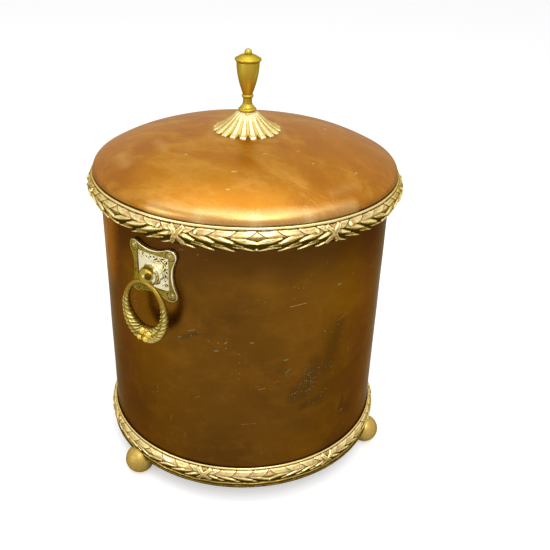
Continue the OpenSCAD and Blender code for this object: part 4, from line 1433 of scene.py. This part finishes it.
@dataclass
class HandlePlate:
    """A cast plate: four round ears, dipped sides, bevelled edge, flat frame and a sunk chased field."""

    side: Side
    levels: Levels
    material: bpy.types.Material
    middle_z: float = 260.0
    rivets: tuple[float, float] = (41.0, 40.0)
    half: float = 26.5
    ear_r: float = 6.0
    dip: float = 4.5
    thick: float = 4.0
    shelf_drop: float = 0.7
    field_drop: float = 1.6
    field_w: float = 18.0
    field_h: float = 17.0
    bevel: float = 2.2
    bevel_share: float = 0.55
    bead: float = 0.35
    bead_out: float = 0.9
    bead_in: float = 0.2
    chase: float = 0.3
    around: int = 720

    def outline(self, turn: Array) -> Array:
        """Distance of the plate's edge from its middle, at each angle.

        The square with round corners, cut back on each side by an arc that dips by dip in the middle
        and reaches as far as the ears: the least of what the ray meets, found on a fine run of radii.

        Args:
            turn: the angles.
        Returns:
            The distances.
        """
        chord = self.half - 1.5 * self.ear_r
        dip_r = (chord ** 2 + self.dip ** 2) / (2 * self.dip)
        ear = self.half - self.ear_r
        radii = np.linspace(self.half * 0.6, self.half * 1.45, 1400)[:, None]
        x = np.abs(radii * np.cos(turn)[None, :])
        y = np.abs(radii * np.sin(turn)[None, :])
        corner = (x > ear) & (y > ear)
        outside = np.where(corner, np.hypot(x - ear, y - ear) > self.ear_r, (x > self.half) | (y > self.half))
        middle = self.half - self.dip + dip_r
        outside |= (np.hypot(x - middle, y) < dip_r) | (np.hypot(x, y - middle) < dip_r)
        first = np.argmax(outside, axis=0)
        return radii[first, 0]

    @staticmethod
    def rings(start: Array, end: Array, ways: Array, heights: Array) -> tuple[Array, Array]:
        """Rings between two outlines.

        Args:
            start: radius of the first outline at each angle.
            end: radius of the second.
            ways: share of the way from the first to the second, for each ring.
            heights: height of each ring.
        Returns:
            Angles x rings grids of the radius and the height.
        """
        radius = start[:, None] + (end - start)[:, None] * ways[None, :]
        return radius, np.broadcast_to(heights, radius.shape)

    def build(self) -> None:
        """Rings from the edge inwards, each with its own height, wrapped on the drum.

        The rings run from the back edge up the side, over the bevel by a quarter of an ellipse, down to
        the shelf, across it, over a small bead, down the step and over the field to the middle.
        """
        turn = np.arange(self.around) * TAU / self.around
        edge = blurred(self.outline(turn)[:, None], 5, 0)[:, 0]
        field = np.minimum(self.field_w / np.maximum(np.abs(np.cos(turn)), 1e-6),
                           self.field_h / np.maximum(np.abs(np.sin(turn)), 1e-6))
        share, low = self.bevel_share, self.thick - self.field_drop
        shelf_z = self.thick - self.shelf_drop
        lip, shelf = edge - self.bevel * share, edge - self.bevel
        eighths, quarters = np.arange(9) / 8 * math.pi / 2, np.arange(5) / 4
        side = np.array([0.0, 0.5, 0.85])
        thirds = np.arange(4) / 3
        runs = (
            self.rings(edge, edge, 0 * side, self.thick * share * side),
            self.rings(edge, lip, 1 - np.cos(eighths), self.thick * (share + (1 - share) * np.sin(eighths))),
            self.rings(lip, shelf, quarters[1:],
                       self.thick - self.shelf_drop * np.sin(quarters[1:] * math.pi / 2)),
            self.rings(shelf, field + self.bead_out, np.arange(1, 22) / 22, np.full(21, shelf_z)),
            self.rings(field + self.bead_out, field + self.bead_in, quarters,
                       shelf_z + self.bead * np.sin(quarters * math.pi)),
            self.rings(field + 0.1, field - 0.2, thirds, shelf_z + (low - 0.2 - shelf_z) * thirds),
            self.rings(field - 0.2, 0 * field, np.arange(1, 46) / 46, np.full(45, low)))
        radius, height = (np.concatenate(grids, axis=1) for grids in zip(*runs))
        y = radius * np.cos(turn)[:, None]
        z = radius * np.sin(turn)[:, None]
        cut = self.chasing(y, z)
        height = height - self.chase * cut + self.bosses(y, z)
        level = blurred(height, 6, 3)
        in_field = radius < field[:, None] - 0.3
        # Painted highlight: the bevel near the edge is lighter along the top and one side, as the light falls, and
        # a little darker along the others.
        lit = smooth_step(-0.3, 0.7, 0.7 * np.sin(turn) + 0.7 * np.cos(turn))[:, None]
        rim = smooth_step(2.6, 1.2, edge[:, None] - radius) * (1.3 * lit - 0.1)
        wear = np.where(in_field, 0.92 - 0.8 * cut, 0.40 + 0.9 * (height - level) + 0.3 * rim)
        self.finish(y, z, height, np.clip(wear, 0, 1))

    def chasing(self, y: Array, z: Array) -> Array:
        """Chased scrolls round the border of the field, 1 where they are cut.

        They are where a wave along the border, bent by how far in it is, crosses a wave across it.

        Args:
            y: distance across from the plate's middle.
            z: distance up from it.
        Returns:
            The share that is cut.
        """
        across = np.abs(y) / self.field_w
        upright = np.abs(z) / self.field_h
        near = np.maximum(across, upright)
        zone = smooth_step(0.62, 0.68, near) * smooth_step(0.95, 0.9, near)
        zone = zone * smooth_step(-0.4, 0.3, z / self.field_h + y / self.field_w)
        along = np.where(across > upright, z, y)
        inward = near * self.field_w
        bent = np.sin(along * 1.15 + 1.4 * np.sin(inward * 1.1 + along * 0.35))
        cut = bent * np.sin(inward * 1.25 + 1.2 * np.sin(along * 0.6 + 0.6))
        return zone * smooth_step(0.12, 0.4, cut)

    def bosses(self, y: Array, z: Array) -> Array:
        """A raised ring round each rivet: a ridge 3.3 mm from the rivet's middle, a groove at 4.9 mm."""
        off = np.hypot(np.abs(y) - self.rivets[0] / 2, np.abs(z) - self.rivets[1] / 2)
        return 0.45 * np.exp(-((off - 3.3) / 0.5) ** 2) - 0.2 * np.exp(-((off - 4.9) / 0.6) ** 2)

    def finish(self, y: Array, z: Array, height: Array, wear: Array) -> None:
        """Wraps the grid round the drum, closes it behind and makes the piece.

        Args:
            y: distance across from the plate's middle.
            z: distance up from it.
            height: height over the drum.
            wear: how rubbed each point is, with a painted highlight along the top and one side of the bevel.
        """
        sign = self.side.value
        back_r = self.levels.drum_r + 0.05
        y, z, wear = (np.concatenate([grid[:, :1], grid], axis=1) for grid in (y, z, wear))
        r = back_r + np.concatenate([0 * height[:, :1], height], axis=1)
        swing = y / self.levels.drum_r
        grid = np.stack([sign * r * np.cos(swing), sign * r * np.sin(swing), self.middle_z + z], -1)
        skin = Skin.of_grid(grid, True, False, values={"wear": wear, "blush": 0 * wear})
        n, rows = wear.shape
        top = len(skin.points)
        skin.faces += [fan(top, n, rows, rows - 1, True), fan(top + 1, n, rows, 0, False)]
        skin.points = np.vstack([skin.points, [sign * r[0, -1], 0.0, self.middle_z],
                                 [sign * back_r, 0.0, self.middle_z]])
        skin.values = {"wear": np.append(skin.values["wear"], [0.8, 0.3]),
                       "blush": np.append(skin.values["blush"], [0.0, 0.0])}
        make_piece(skin, self.side.named("plate"), self.material, "drum",
                   self.side.named("handle_plate"), 50)


@dataclass
class Rosette:
    """The leaf rosette: twenty hollowed leaves down a cone, notched between their tips."""

    dome: Dome
    material: bpy.types.Material
    leaves: int = 20
    rim_r: float = 34.0
    top_z: float = 374.3
    hole_r: float = 2.8
    per_leaf: int = 28
    rows: int = 80

    def build(self, collar_r: float) -> None:
        """Height over the dome by radius and by the place across each leaf.

        With t the share of the way from the rim to the collar, the cone rises by t^1.5 over the dome.
        psi goes from 0 on a leaf's midrib to 1 where it meets the next. A leaf stands up to psi 0.5, a
        groove runs at psi 0.6, a golden drop-shaped hollow lies beyond it, and a three-cornered
        notch opens between the rounded tips.

        Args:
            collar_r: radius of the collar that stands on it.
        """
        n = self.leaves * self.per_leaf
        a = (np.arange(n)[:, None] + 0.5) * TAU / n
        psi = np.abs(((np.arange(n)[:, None] + 0.5) / self.per_leaf % 1) * 2 - 1)
        v = np.linspace(0, 1, self.rows)[None, :]
        rim = self.rim_r - 1.5 * psi ** 3
        r = rim + (collar_r - 1.0 - rim) * v
        t = np.clip((self.rim_r - r) / (self.rim_r - collar_r + 1.0), 0, 1)
        drop = smooth_step(0.1, 0.3, t) * smooth_step(0.84, 0.6, t)
        leaf = smooth_step(0.66, 0.46, psi)
        groove = np.exp(-((psi - 0.6) / 0.1) ** 2) * smooth_step(0.92, 0.7, t)
        hollow = smooth_step(0.64, 0.78, psi) * drop
        notch = smooth_step(0.0, 0.35, 1 - (1 - psi) / 0.56 - t / 0.3)
        fade = smooth_step(1.0, 0.84, t)
        lift = (1.35 + 0.5 * leaf - 0.35 * groove - 0.45 * hollow - 1.3 * notch) * fade
        lift = lift * smooth_step(-0.01, 0.04, v)
        foot = self.dome.height_at(r)
        crown = self.dome.crown_z
        z = foot + (self.top_z - foot) * t ** 1.5 + lift - 0.4 * fade
        z = np.clip(z, foot + 0.12, self.top_z)
        wear = 0.71 + 0.09 * leaf - 0.46 * groove * smooth_step(0.0, 0.2, t) - 0.18 * hollow - 0.8 * notch
        wear = np.clip(wear, 0, 1)

        def ring(radius: Array, height: Array) -> Array:
            """One closing ring of points."""
            return np.stack([radius * np.cos(a), radius * np.sin(a), height + 0 * a], -1)

        face = np.stack([r * np.cos(a), r * np.sin(a), z], -1)
        hole = np.full_like(a, self.hole_r)
        grid = np.concatenate([face, ring(hole, self.top_z), ring(hole, crown + 0.05),
                               ring(rim / 2, self.dome.height_at(rim / 2) + 0.05),
                               ring(rim, self.dome.height_at(rim) + 0.05)], axis=1)
        skin = Skin.of_grid(grid, True, True, values={
            "wear": np.concatenate([wear, np.full((n, 4), 0.5)], axis=1), "blush": np.zeros(grid.shape[:2])})
        make_piece(skin, "leaf_rosette", self.material, "lid", "finial_rosette")


@dataclass
class Finial:
    """The turned collar, urn and cap that stand on the rosette."""

    material: bpy.types.Material
    foot_z: float = 374.3
    collar_r: float = 9.0
    collar_edge: float = 2.6
    collar_z: float = 381.7
    neck_r: float = 4.5
    ring_r: float = 5.9
    bowl_z: float = 390.5
    urn_r: float = 11.1
    mouth_z: float = 421.2
    cap_r: float = 12.9
    cap_z: float = 428.7
    button_r: float = 3.6
    top_z: float = 433.7
    segments: int = 112

    def build(self) -> None:
        """Turns the three profiles.

        The bowl's radius follows the sine of a quarter turn of s^0.9 up its height, the cap a sine in
        height from its rounded rim to the button.
        """
        edge = self.collar_edge / 2
        collar = ([(0, self.foot_z)] + arc(self.collar_r - edge, self.foot_z + edge, edge, -90, 62, 14)
                  + [(7.2, self.foot_z + 3.0), (7.1, self.foot_z + 3.7), (6.6, self.foot_z + 4.5),
                     (5.7, self.foot_z + 5.2), (5.1, self.foot_z + 6.2), (self.neck_r + 0.4, self.collar_z),
                     (0, self.collar_z)])
        ring_z = self.bowl_z - 1.6
        start = self.ring_r - 1.4
        bowl = [(start + (self.urn_r - start) * math.sin(math.pi / 2 * (k / 40) ** 0.9),
                 self.bowl_z + (self.mouth_z - self.bowl_z) * k / 40) for k in range(41)]
        urn = ([(0, self.collar_z), (self.neck_r, self.collar_z), (self.neck_r, ring_z - 2.2)]
               + arc(self.ring_r - 1.6, ring_z, 1.6, -75, 75, 12) + bowl + [(0, self.mouth_z)])
        rim = 1.5
        shoulder = self.mouth_z + 1 + 2 * rim
        cap = ([(0, self.mouth_z), (self.urn_r, self.mouth_z)]
               + arc(self.cap_r - rim, self.mouth_z + 1 + rim, rim, -60, 60, 14)
               + [(self.cap_r - rim - (self.cap_r - rim - self.button_r + 0.5) * k / 16,
                   shoulder + (self.cap_z - shoulder) * math.sin(math.pi / 2 * k / 16)) for k in range(1, 17)]
               + arc(0, self.top_z - self.button_r, self.button_r, -22, 84, 16) + [(0, self.top_z)])
        for name, profile in (("collar", collar), ("urn", urn), ("cap", cap)):
            make_piece(turned(profile, self.segments), "turned_" + name, self.material, "lid",
                       "finial_" + name, 38)


# ---------------------------------------------------------------------------------------------
# Camera and studio


@dataclass(frozen=True)
class ViewCamera:
    """The photograph's camera, set about a point of the drum's axis, in millimetres and degrees."""

    distance: float = 818.4
    elevation: float = 29.17
    bearing: float = -56.0
    focal_px: float = 736.4
    frame_px: float = 550.0
    roll: float = -0.85
    aim_px: tuple[float, float] = (244.8, 284.0)
    aim_z: float = 178.5

    def build(self) -> None:
        """Aims at the axis, then turns the view so that the aim shows at aim_px, with no shift."""
        el, roll = math.radians(self.elevation), math.radians(self.roll)
        turn = Matrix.Rotation(math.radians(self.bearing), 3, "Z")
        forward = Vector((0, math.cos(el), -math.sin(el)))
        right = Vector((1, 0, 0))
        middle = self.frame_px / 2
        dx, dy = (self.aim_px[0] - middle) / self.focal_px, -(self.aim_px[1] - middle) / self.focal_px
        ux = math.cos(roll) * dx + math.sin(roll) * dy
        uy = -math.sin(roll) * dx + math.cos(roll) * dy
        yaw = math.atan(ux)
        pitch = math.atan(uy * math.cos(yaw))
        first = Matrix.Rotation(-pitch, 3, right)
        up = first @ right.cross(forward)
        second = Matrix.Rotation(yaw, 3, up)
        look, side = second @ first @ forward, second @ right
        axis_x = math.cos(roll) * side - math.sin(roll) * up
        axis_y = math.sin(roll) * side + math.cos(roll) * up
        place = Vector((0, -self.distance * math.cos(el), self.distance * math.sin(el)))
        place = turn @ place + Vector((0, 0, self.aim_z))
        pose = Matrix((turn @ axis_x, turn @ axis_y, turn @ -look)).transposed().to_4x4()
        pose.translation = place * MM
        data = bpy.data.cameras.new("camera")
        data.sensor_width = 36.0
        data.lens = self.focal_px * data.sensor_width / self.frame_px
        data.clip_start, data.clip_end = 0.01, 50.0
        camera = bpy.data.objects.new("camera", data)
        camera.matrix_world = pose
        bpy.context.scene.collection.objects.link(camera)
        bpy.context.scene.camera = camera


@dataclass(frozen=True)
class Lamp:
    """A soft box: its place and what it faces in metres, its size and its power."""

    name: str
    place: Point
    aim: Point
    size: tuple[float, float]
    power: float

    def build(self) -> None:
        """Adds the area lamp."""
        data = bpy.data.lights.new(self.name, "AREA")
        data.shape = "RECTANGLE"
        data.size, data.size_y = self.size
        data.energy = self.power
        lamp = bpy.data.objects.new(self.name, data)
        lamp.location = self.place
        lamp.rotation_euler = (Vector(self.aim) - Vector(self.place)).to_track_quat("-Z", "Y").to_euler()
        bpy.context.scene.collection.objects.link(lamp)


@dataclass(frozen=True)
class Studio:
    """A plain pale floor and plain soft light; lift is what the floor adds to be white to the camera."""

    lift: float = 0.46
    half_width: float = 6.0
    soft: float = 0.55

    def build(self) -> None:
        """Floor, world and lamps."""
        self.floor()
        self.world()
        for lamp in (
            Lamp("key", (-0.85, -0.85, 1.6), (0, 0, 0.25), (0.8, 0.8), 10.0),
            Lamp("top", (-0.12, -0.06, 1.9), (0, 0, 0.3), (2.0, 1.3), 12.0),
            Lamp("side", (-1.3, 0.5, 0.5), (0, 0, 0.25), (0.25, 0.5), 2.5),
        ):
            lamp.build()
        bpy.context.scene.view_settings.view_transform = "Standard"

    def floor(self) -> None:
        """A wide flat floor, white to the camera where nothing shades it."""
        wide = self.half_width
        corners = [(-wide, -wide, 0), (wide, -wide, 0), (wide, wide, 0), (-wide, wide, 0)]
        mesh = bpy.data.meshes.new("floor")
        mesh.from_pydata(corners, [], [(0, 1, 2, 3)])
        floor = bpy.data.objects.new("floor", mesh)
        bpy.context.scene.collection.objects.link(floor)
        material, w, bsdf, _ = new_material("pale_floor")
        bsdf.inputs["Base Color"].default_value = (0.86, 0.86, 0.86, 1)
        bsdf.inputs["Roughness"].default_value = 0.9
        bsdf.inputs["Specular IOR Level"].default_value = 0.1
        bsdf.inputs["Emission Color"].default_value = (1, 1, 1, 1)
        seen = w.add("LightPath").outputs["Is Camera Ray"]
        w.put(bsdf.inputs["Emission Strength"], w.math("MULTIPLY", seen, self.lift))
        dress(floor, material)

    def world(self) -> None:
        """White to the camera, in reflections and through glass; plain soft light for the rest."""
        world = bpy.data.worlds.new("studio")
        bpy.context.scene.world = world
        world.use_nodes = True
        w = Wiring(world.node_tree)
        path = w.add("LightPath")
        seen = w.math("MAXIMUM", path.outputs["Is Camera Ray"], path.outputs["Is Glossy Ray"])
        seen = w.math("MAXIMUM", seen, path.outputs["Is Transmission Ray"])
        back = world.node_tree.nodes["Background"]
        back.inputs["Color"].default_value = (1, 1, 1, 1)
        w.put(back.inputs["Strength"], w.math("ADD", self.soft, w.math("MULTIPLY", seen, 1 - self.soft)))


# ---------------------------------------------------------------------------------------------


# Rows of marks on the drum: bearing, height, length, lean, half the width and the share, as
# Mark.on_drum takes them. Rows on the lid: bearing, radius, length, half the width and the share.
DRUM_MARKS = {
    # Painted reflection: the orange strip of reflected light on the drum's left.
    Stain.RUBBED: ((-124.0, 262, 52, 80, 46.0, 1.7),),
    Stain.SCRATCH: (
        (-85.5, 94.0, 9, 78, 0.5, 0.7), (-85.3, 74.7, 6, 60, 0.45, 0.7), (-73.7, 130.1, 7, 35, 0.5, 0.7),
        (-36.4, 234.6, 16, 4, 0.7), (-53.6, 102.7, 14, 3, 0.5, 0.7), (-16.0, 206.8, 14, 20, 0.6, 0.8),
        (-49.0, 144.9, 7, 10, 0.6, 0.8), (-12.3, 88.3, 6, 20, 0.9, 0.9), (-10.8, 163.4, 4, 80, 0.9, 0.8)),
    Stain.RED: ((-43.7, 151.7, 5, 10, 1.8, 0.7),),
    Stain.VERDIGRIS: (
        (-80.0, 195.7, 3, 20, 1.5), (-75.5, 206.0, 8, 25, 0.7), (-66.1, 187.5, 2.5, 0, 1.6),
        (-62.5, 197.4, 3, 50, 1.1), (-53.1, 198.2, 2, 0, 1.4), (-40.2, 175.8, 4, 0, 1.4),
        (-24.4, 198.4, 1.5, 0, 1.3), (-18.9, 245.4, 2.5, 10, 1.6), (-39.2, 162.6, 6, 45, 0.8),
        (0.8, 245.6, 1.5, 0, 1.2), (-12.0, 88.0, 4, 10, 1.3)),
}
DRUM_CRUST = {
    Stain.CRUST: (
        (-36.0, 132.7, 8, 80, 17.0), (-30.0, 148.0, 34, 66, 24.0), (-28.0, 118.0, 20, 12, 12.0),
        (-20.0, 176.0, 44, 72, 22.0), (-76.0, 200.0, 20, 28, 5.0), (-12.0, 96.0, 16, 80, 8.0)),
}
LID_MARKS = {
    Stain.CLOUD: (
        (-122.7, 127.5, 26, 14.0, 0.8), (-123.0, 89.9, 24, 12.0, 0.7), (-16.1, 136.8, 30, 9.0, 0.3),
        (-56.0, 44.0, 60, 8.0, 0.7), (-150.0, 44.0, 60, 9.0, 0.6), (40.0, 44.0, 60, 8.0, 0.6)),
    Stain.PALE: (
        (-97.0, 85.1, 2, 1.6), (-62.3, 99.5, 3, 2.2), (-63.3, 123.5, 2, 1.5), (-41.6, 67.7, 4, 1.2),
        (-14.3, 72.2, 3, 1.2), (-17.2, 96.8, 2, 1.2), (48.4, 82.7, 5, 1.3), (-2.4, 125.5, 3, 1.2)),
    Stain.RED: ((-53.2, 117.1, 3, 3.0, 0.6),),
    # Painted highlight: pale bands along the lid's front rim.
    Stain.WORN: (
        (-80.0, 152.0, 48, 10.0, 0.7), (-62.0, 151.0, 48, 12.0, 1.0), (-44.0, 151.0, 48, 12.0, 1.0),
        (-26.0, 152.0, 48, 10.0, 0.7)),
}
GOLD = rgb(190, 168, 104)


def laid(make: Callable[..., Mark], rows: dict[Stain, tuple[tuple[float, ...], ...]]) -> tuple[Mark, ...]:
    """Marks in the order of their rows, each row being what make takes after the stain."""
    return tuple(make(stain, *row) for stain, some in rows.items() for row in some)


def copper_finishes() -> dict[str, CopperFinish]:
    """The drum's brown copper, and the lid's copper painted brighter as lit from above.

    Returns:
        The finishes by slot.
    """
    return {
        "drum_copper": CopperFinish(
            "aged_drum_copper", rgb(120, 77, 15), rgb(142, 94, 24), rgb(94, 60, 15), rgb(196, 176, 140),
            rough=0.32, cloud_scale=9.0, scuff=0.35, seen_from_above=False, streaks=(20, 20, 34), streak=0.25,
            # shade: painted shade, darker towards the drum's top where the lid overhangs.
            coat=0.04, shade=(0.245, 0.29, 0.0, 0.75), marks=laid(Mark.on_drum, DRUM_MARKS),
            crust=laid(Mark.on_drum, DRUM_CRUST)),
        "lid_copper": CopperFinish(
            # The lid's colours are the copper painted brighter, as its top is lit from above.
            "aged_lid_copper_painted_lit", rgb(190, 124, 22), rgb(212, 156, 66), rgb(168, 104, 16), rgb(212, 186, 140),
            rough=0.38, cloud_scale=12.0, scuff=0.2, seen_from_above=True, streaks=(24, 10, 24), streak=0.55,
            # shade: a painted shadow line along the foot of the lid's dome, above the garland.
            coat=0.26, shade=(0.3192, 0.3208, 0.9, 0.0), marks=laid(Mark.on_lid, LID_MARKS)),
    }


def brass_finishes() -> dict[str, BrassFinish]:
    """The brasses that have wear at their points, and then the turned and plain ones.

    Returns:
        The finishes by slot.
    """
    return {
        "garland_brass": BrassFinish(
            "garland_cast_brass", rgb(72, 56, 12), rgb(168, 138, 64), rgb(248, 228, 160), 0.32, True,
            blush=rgb(208, 170, 116), edge=GOLD),
        "rosette_brass": BrassFinish(
            "rosette_cast_brass", rgb(112, 96, 40), rgb(206, 172, 92), rgb(242, 230, 180), 0.36, True,
            edge=GOLD),
        "plate_brass": BrassFinish(
            "plate_cast_brass", rgb(62, 54, 18), rgb(158, 138, 52), rgb(240, 232, 194), 0.34, True,
            edge=GOLD),
        "ring_brass": BrassFinish(
            "ring_cast_brass", rgb(66, 54, 12), rgb(152, 126, 48), rgb(238, 226, 156), 0.32, True,
            blush=rgb(230, 198, 92), edge=GOLD),
        # The knob's second colour is the dark brown of the painted reflection on the ball.
        "knob_brass": BrassFinish(
            "knob_turned_brass", rgb(84, 60, 18), rgb(166, 144, 66), rgb(242, 236, 196), 0.2, True,
            blush=rgb(150, 104, 62), pits=0.05, edge=GOLD),
        "urn_brass": BrassFinish(
            "urn_turned_brass", rgb(182, 156, 44), rgb(204, 178, 66), rgb(214, 190, 104), 0.42, False,
            speckle=0.12, pits=0.04, edge=rgb(140, 120, 66)),
        "foot_brass": BrassFinish(
            "foot_turned_brass", rgb(176, 146, 68), rgb(200, 168, 90), rgb(218, 192, 122), 0.42, False,
            speckle=0.2, pits=0.08, edge=GOLD),
        "rivet_brass": BrassFinish(
            "rivet_brass", rgb(134, 112, 52), rgb(176, 152, 88), rgb(206, 186, 124), 0.3, False),
        "dull_brass": BrassFinish(
            "dull_base_brass", rgb(96, 78, 30), rgb(132, 110, 48), rgb(160, 140, 74), 0.42, False),
        "fixing_brass": BrassFinish(
            "fixing_brass", rgb(120, 104, 60), rgb(160, 142, 88), rgb(190, 174, 120), 0.38, False),
    }


def finishes() -> dict[str, bpy.types.Material]:
    """Builds the shared effects and then every finish once.

    Returns:
        The materials by the name of the record's slot that they stand for.
    """
    for build_effect in (build_clouds, build_scuffs, build_specks, build_mark):
        build_effect()
    sheets = {
        "tinned_copper": SheetFinish("dull_tinned_copper", rgb(150, 132, 112), rgb(112, 92, 72), 0.45),
        "liner_zinc": SheetFinish("liner_zinc", rgb(150, 156, 160), rgb(104, 110, 116), 0.36),
    }
    kinds = {**copper_finishes(), **sheets, **brass_finishes()}
    return {slot: finish.material() for slot, finish in kinds.items()}


def dress_nodes(materials: dict[str, bpy.types.Material]) -> None:
    """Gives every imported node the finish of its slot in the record."""
    for part in frame["record"]["subparts"]:
        dress(frame["nodes"][part["node"]], materials[part["material_slot"]])


def main() -> None:
    """Builds the finishes, the sub-assemblies, the camera and the studio."""
    logging.basicConfig(level=logging.INFO, format="%(name)s: %(message)s")
    materials = finishes()
    dress_nodes(materials)
    levels = Levels.read()
    Drum(levels, materials["drum_copper"]).build()
    dome = Dome(levels, materials["lid_copper"])
    dome.build()
    lid_garland(levels, materials["garland_brass"]).build()
    base_garland(levels, materials["garland_brass"]).build()
    eye = np.array(next(j["pos_m"] for j in frame["joints"] if j["name"] == "right_ring_swing")) / MM
    for side in Side:
        LaurelRing(side, materials["ring_brass"]).build(eye[0], eye[2])
        HandlePlate(side, levels, materials["plate_brass"]).build()
        Knob(side, materials["knob_brass"]).build()
    finial = Finial(materials["urn_brass"])
    Rosette(dome, materials["rosette_brass"]).build(finial.collar_r)
    finial.build()
    ViewCamera().build()
    Studio().build()


if __name__ == "__main__":
    main()
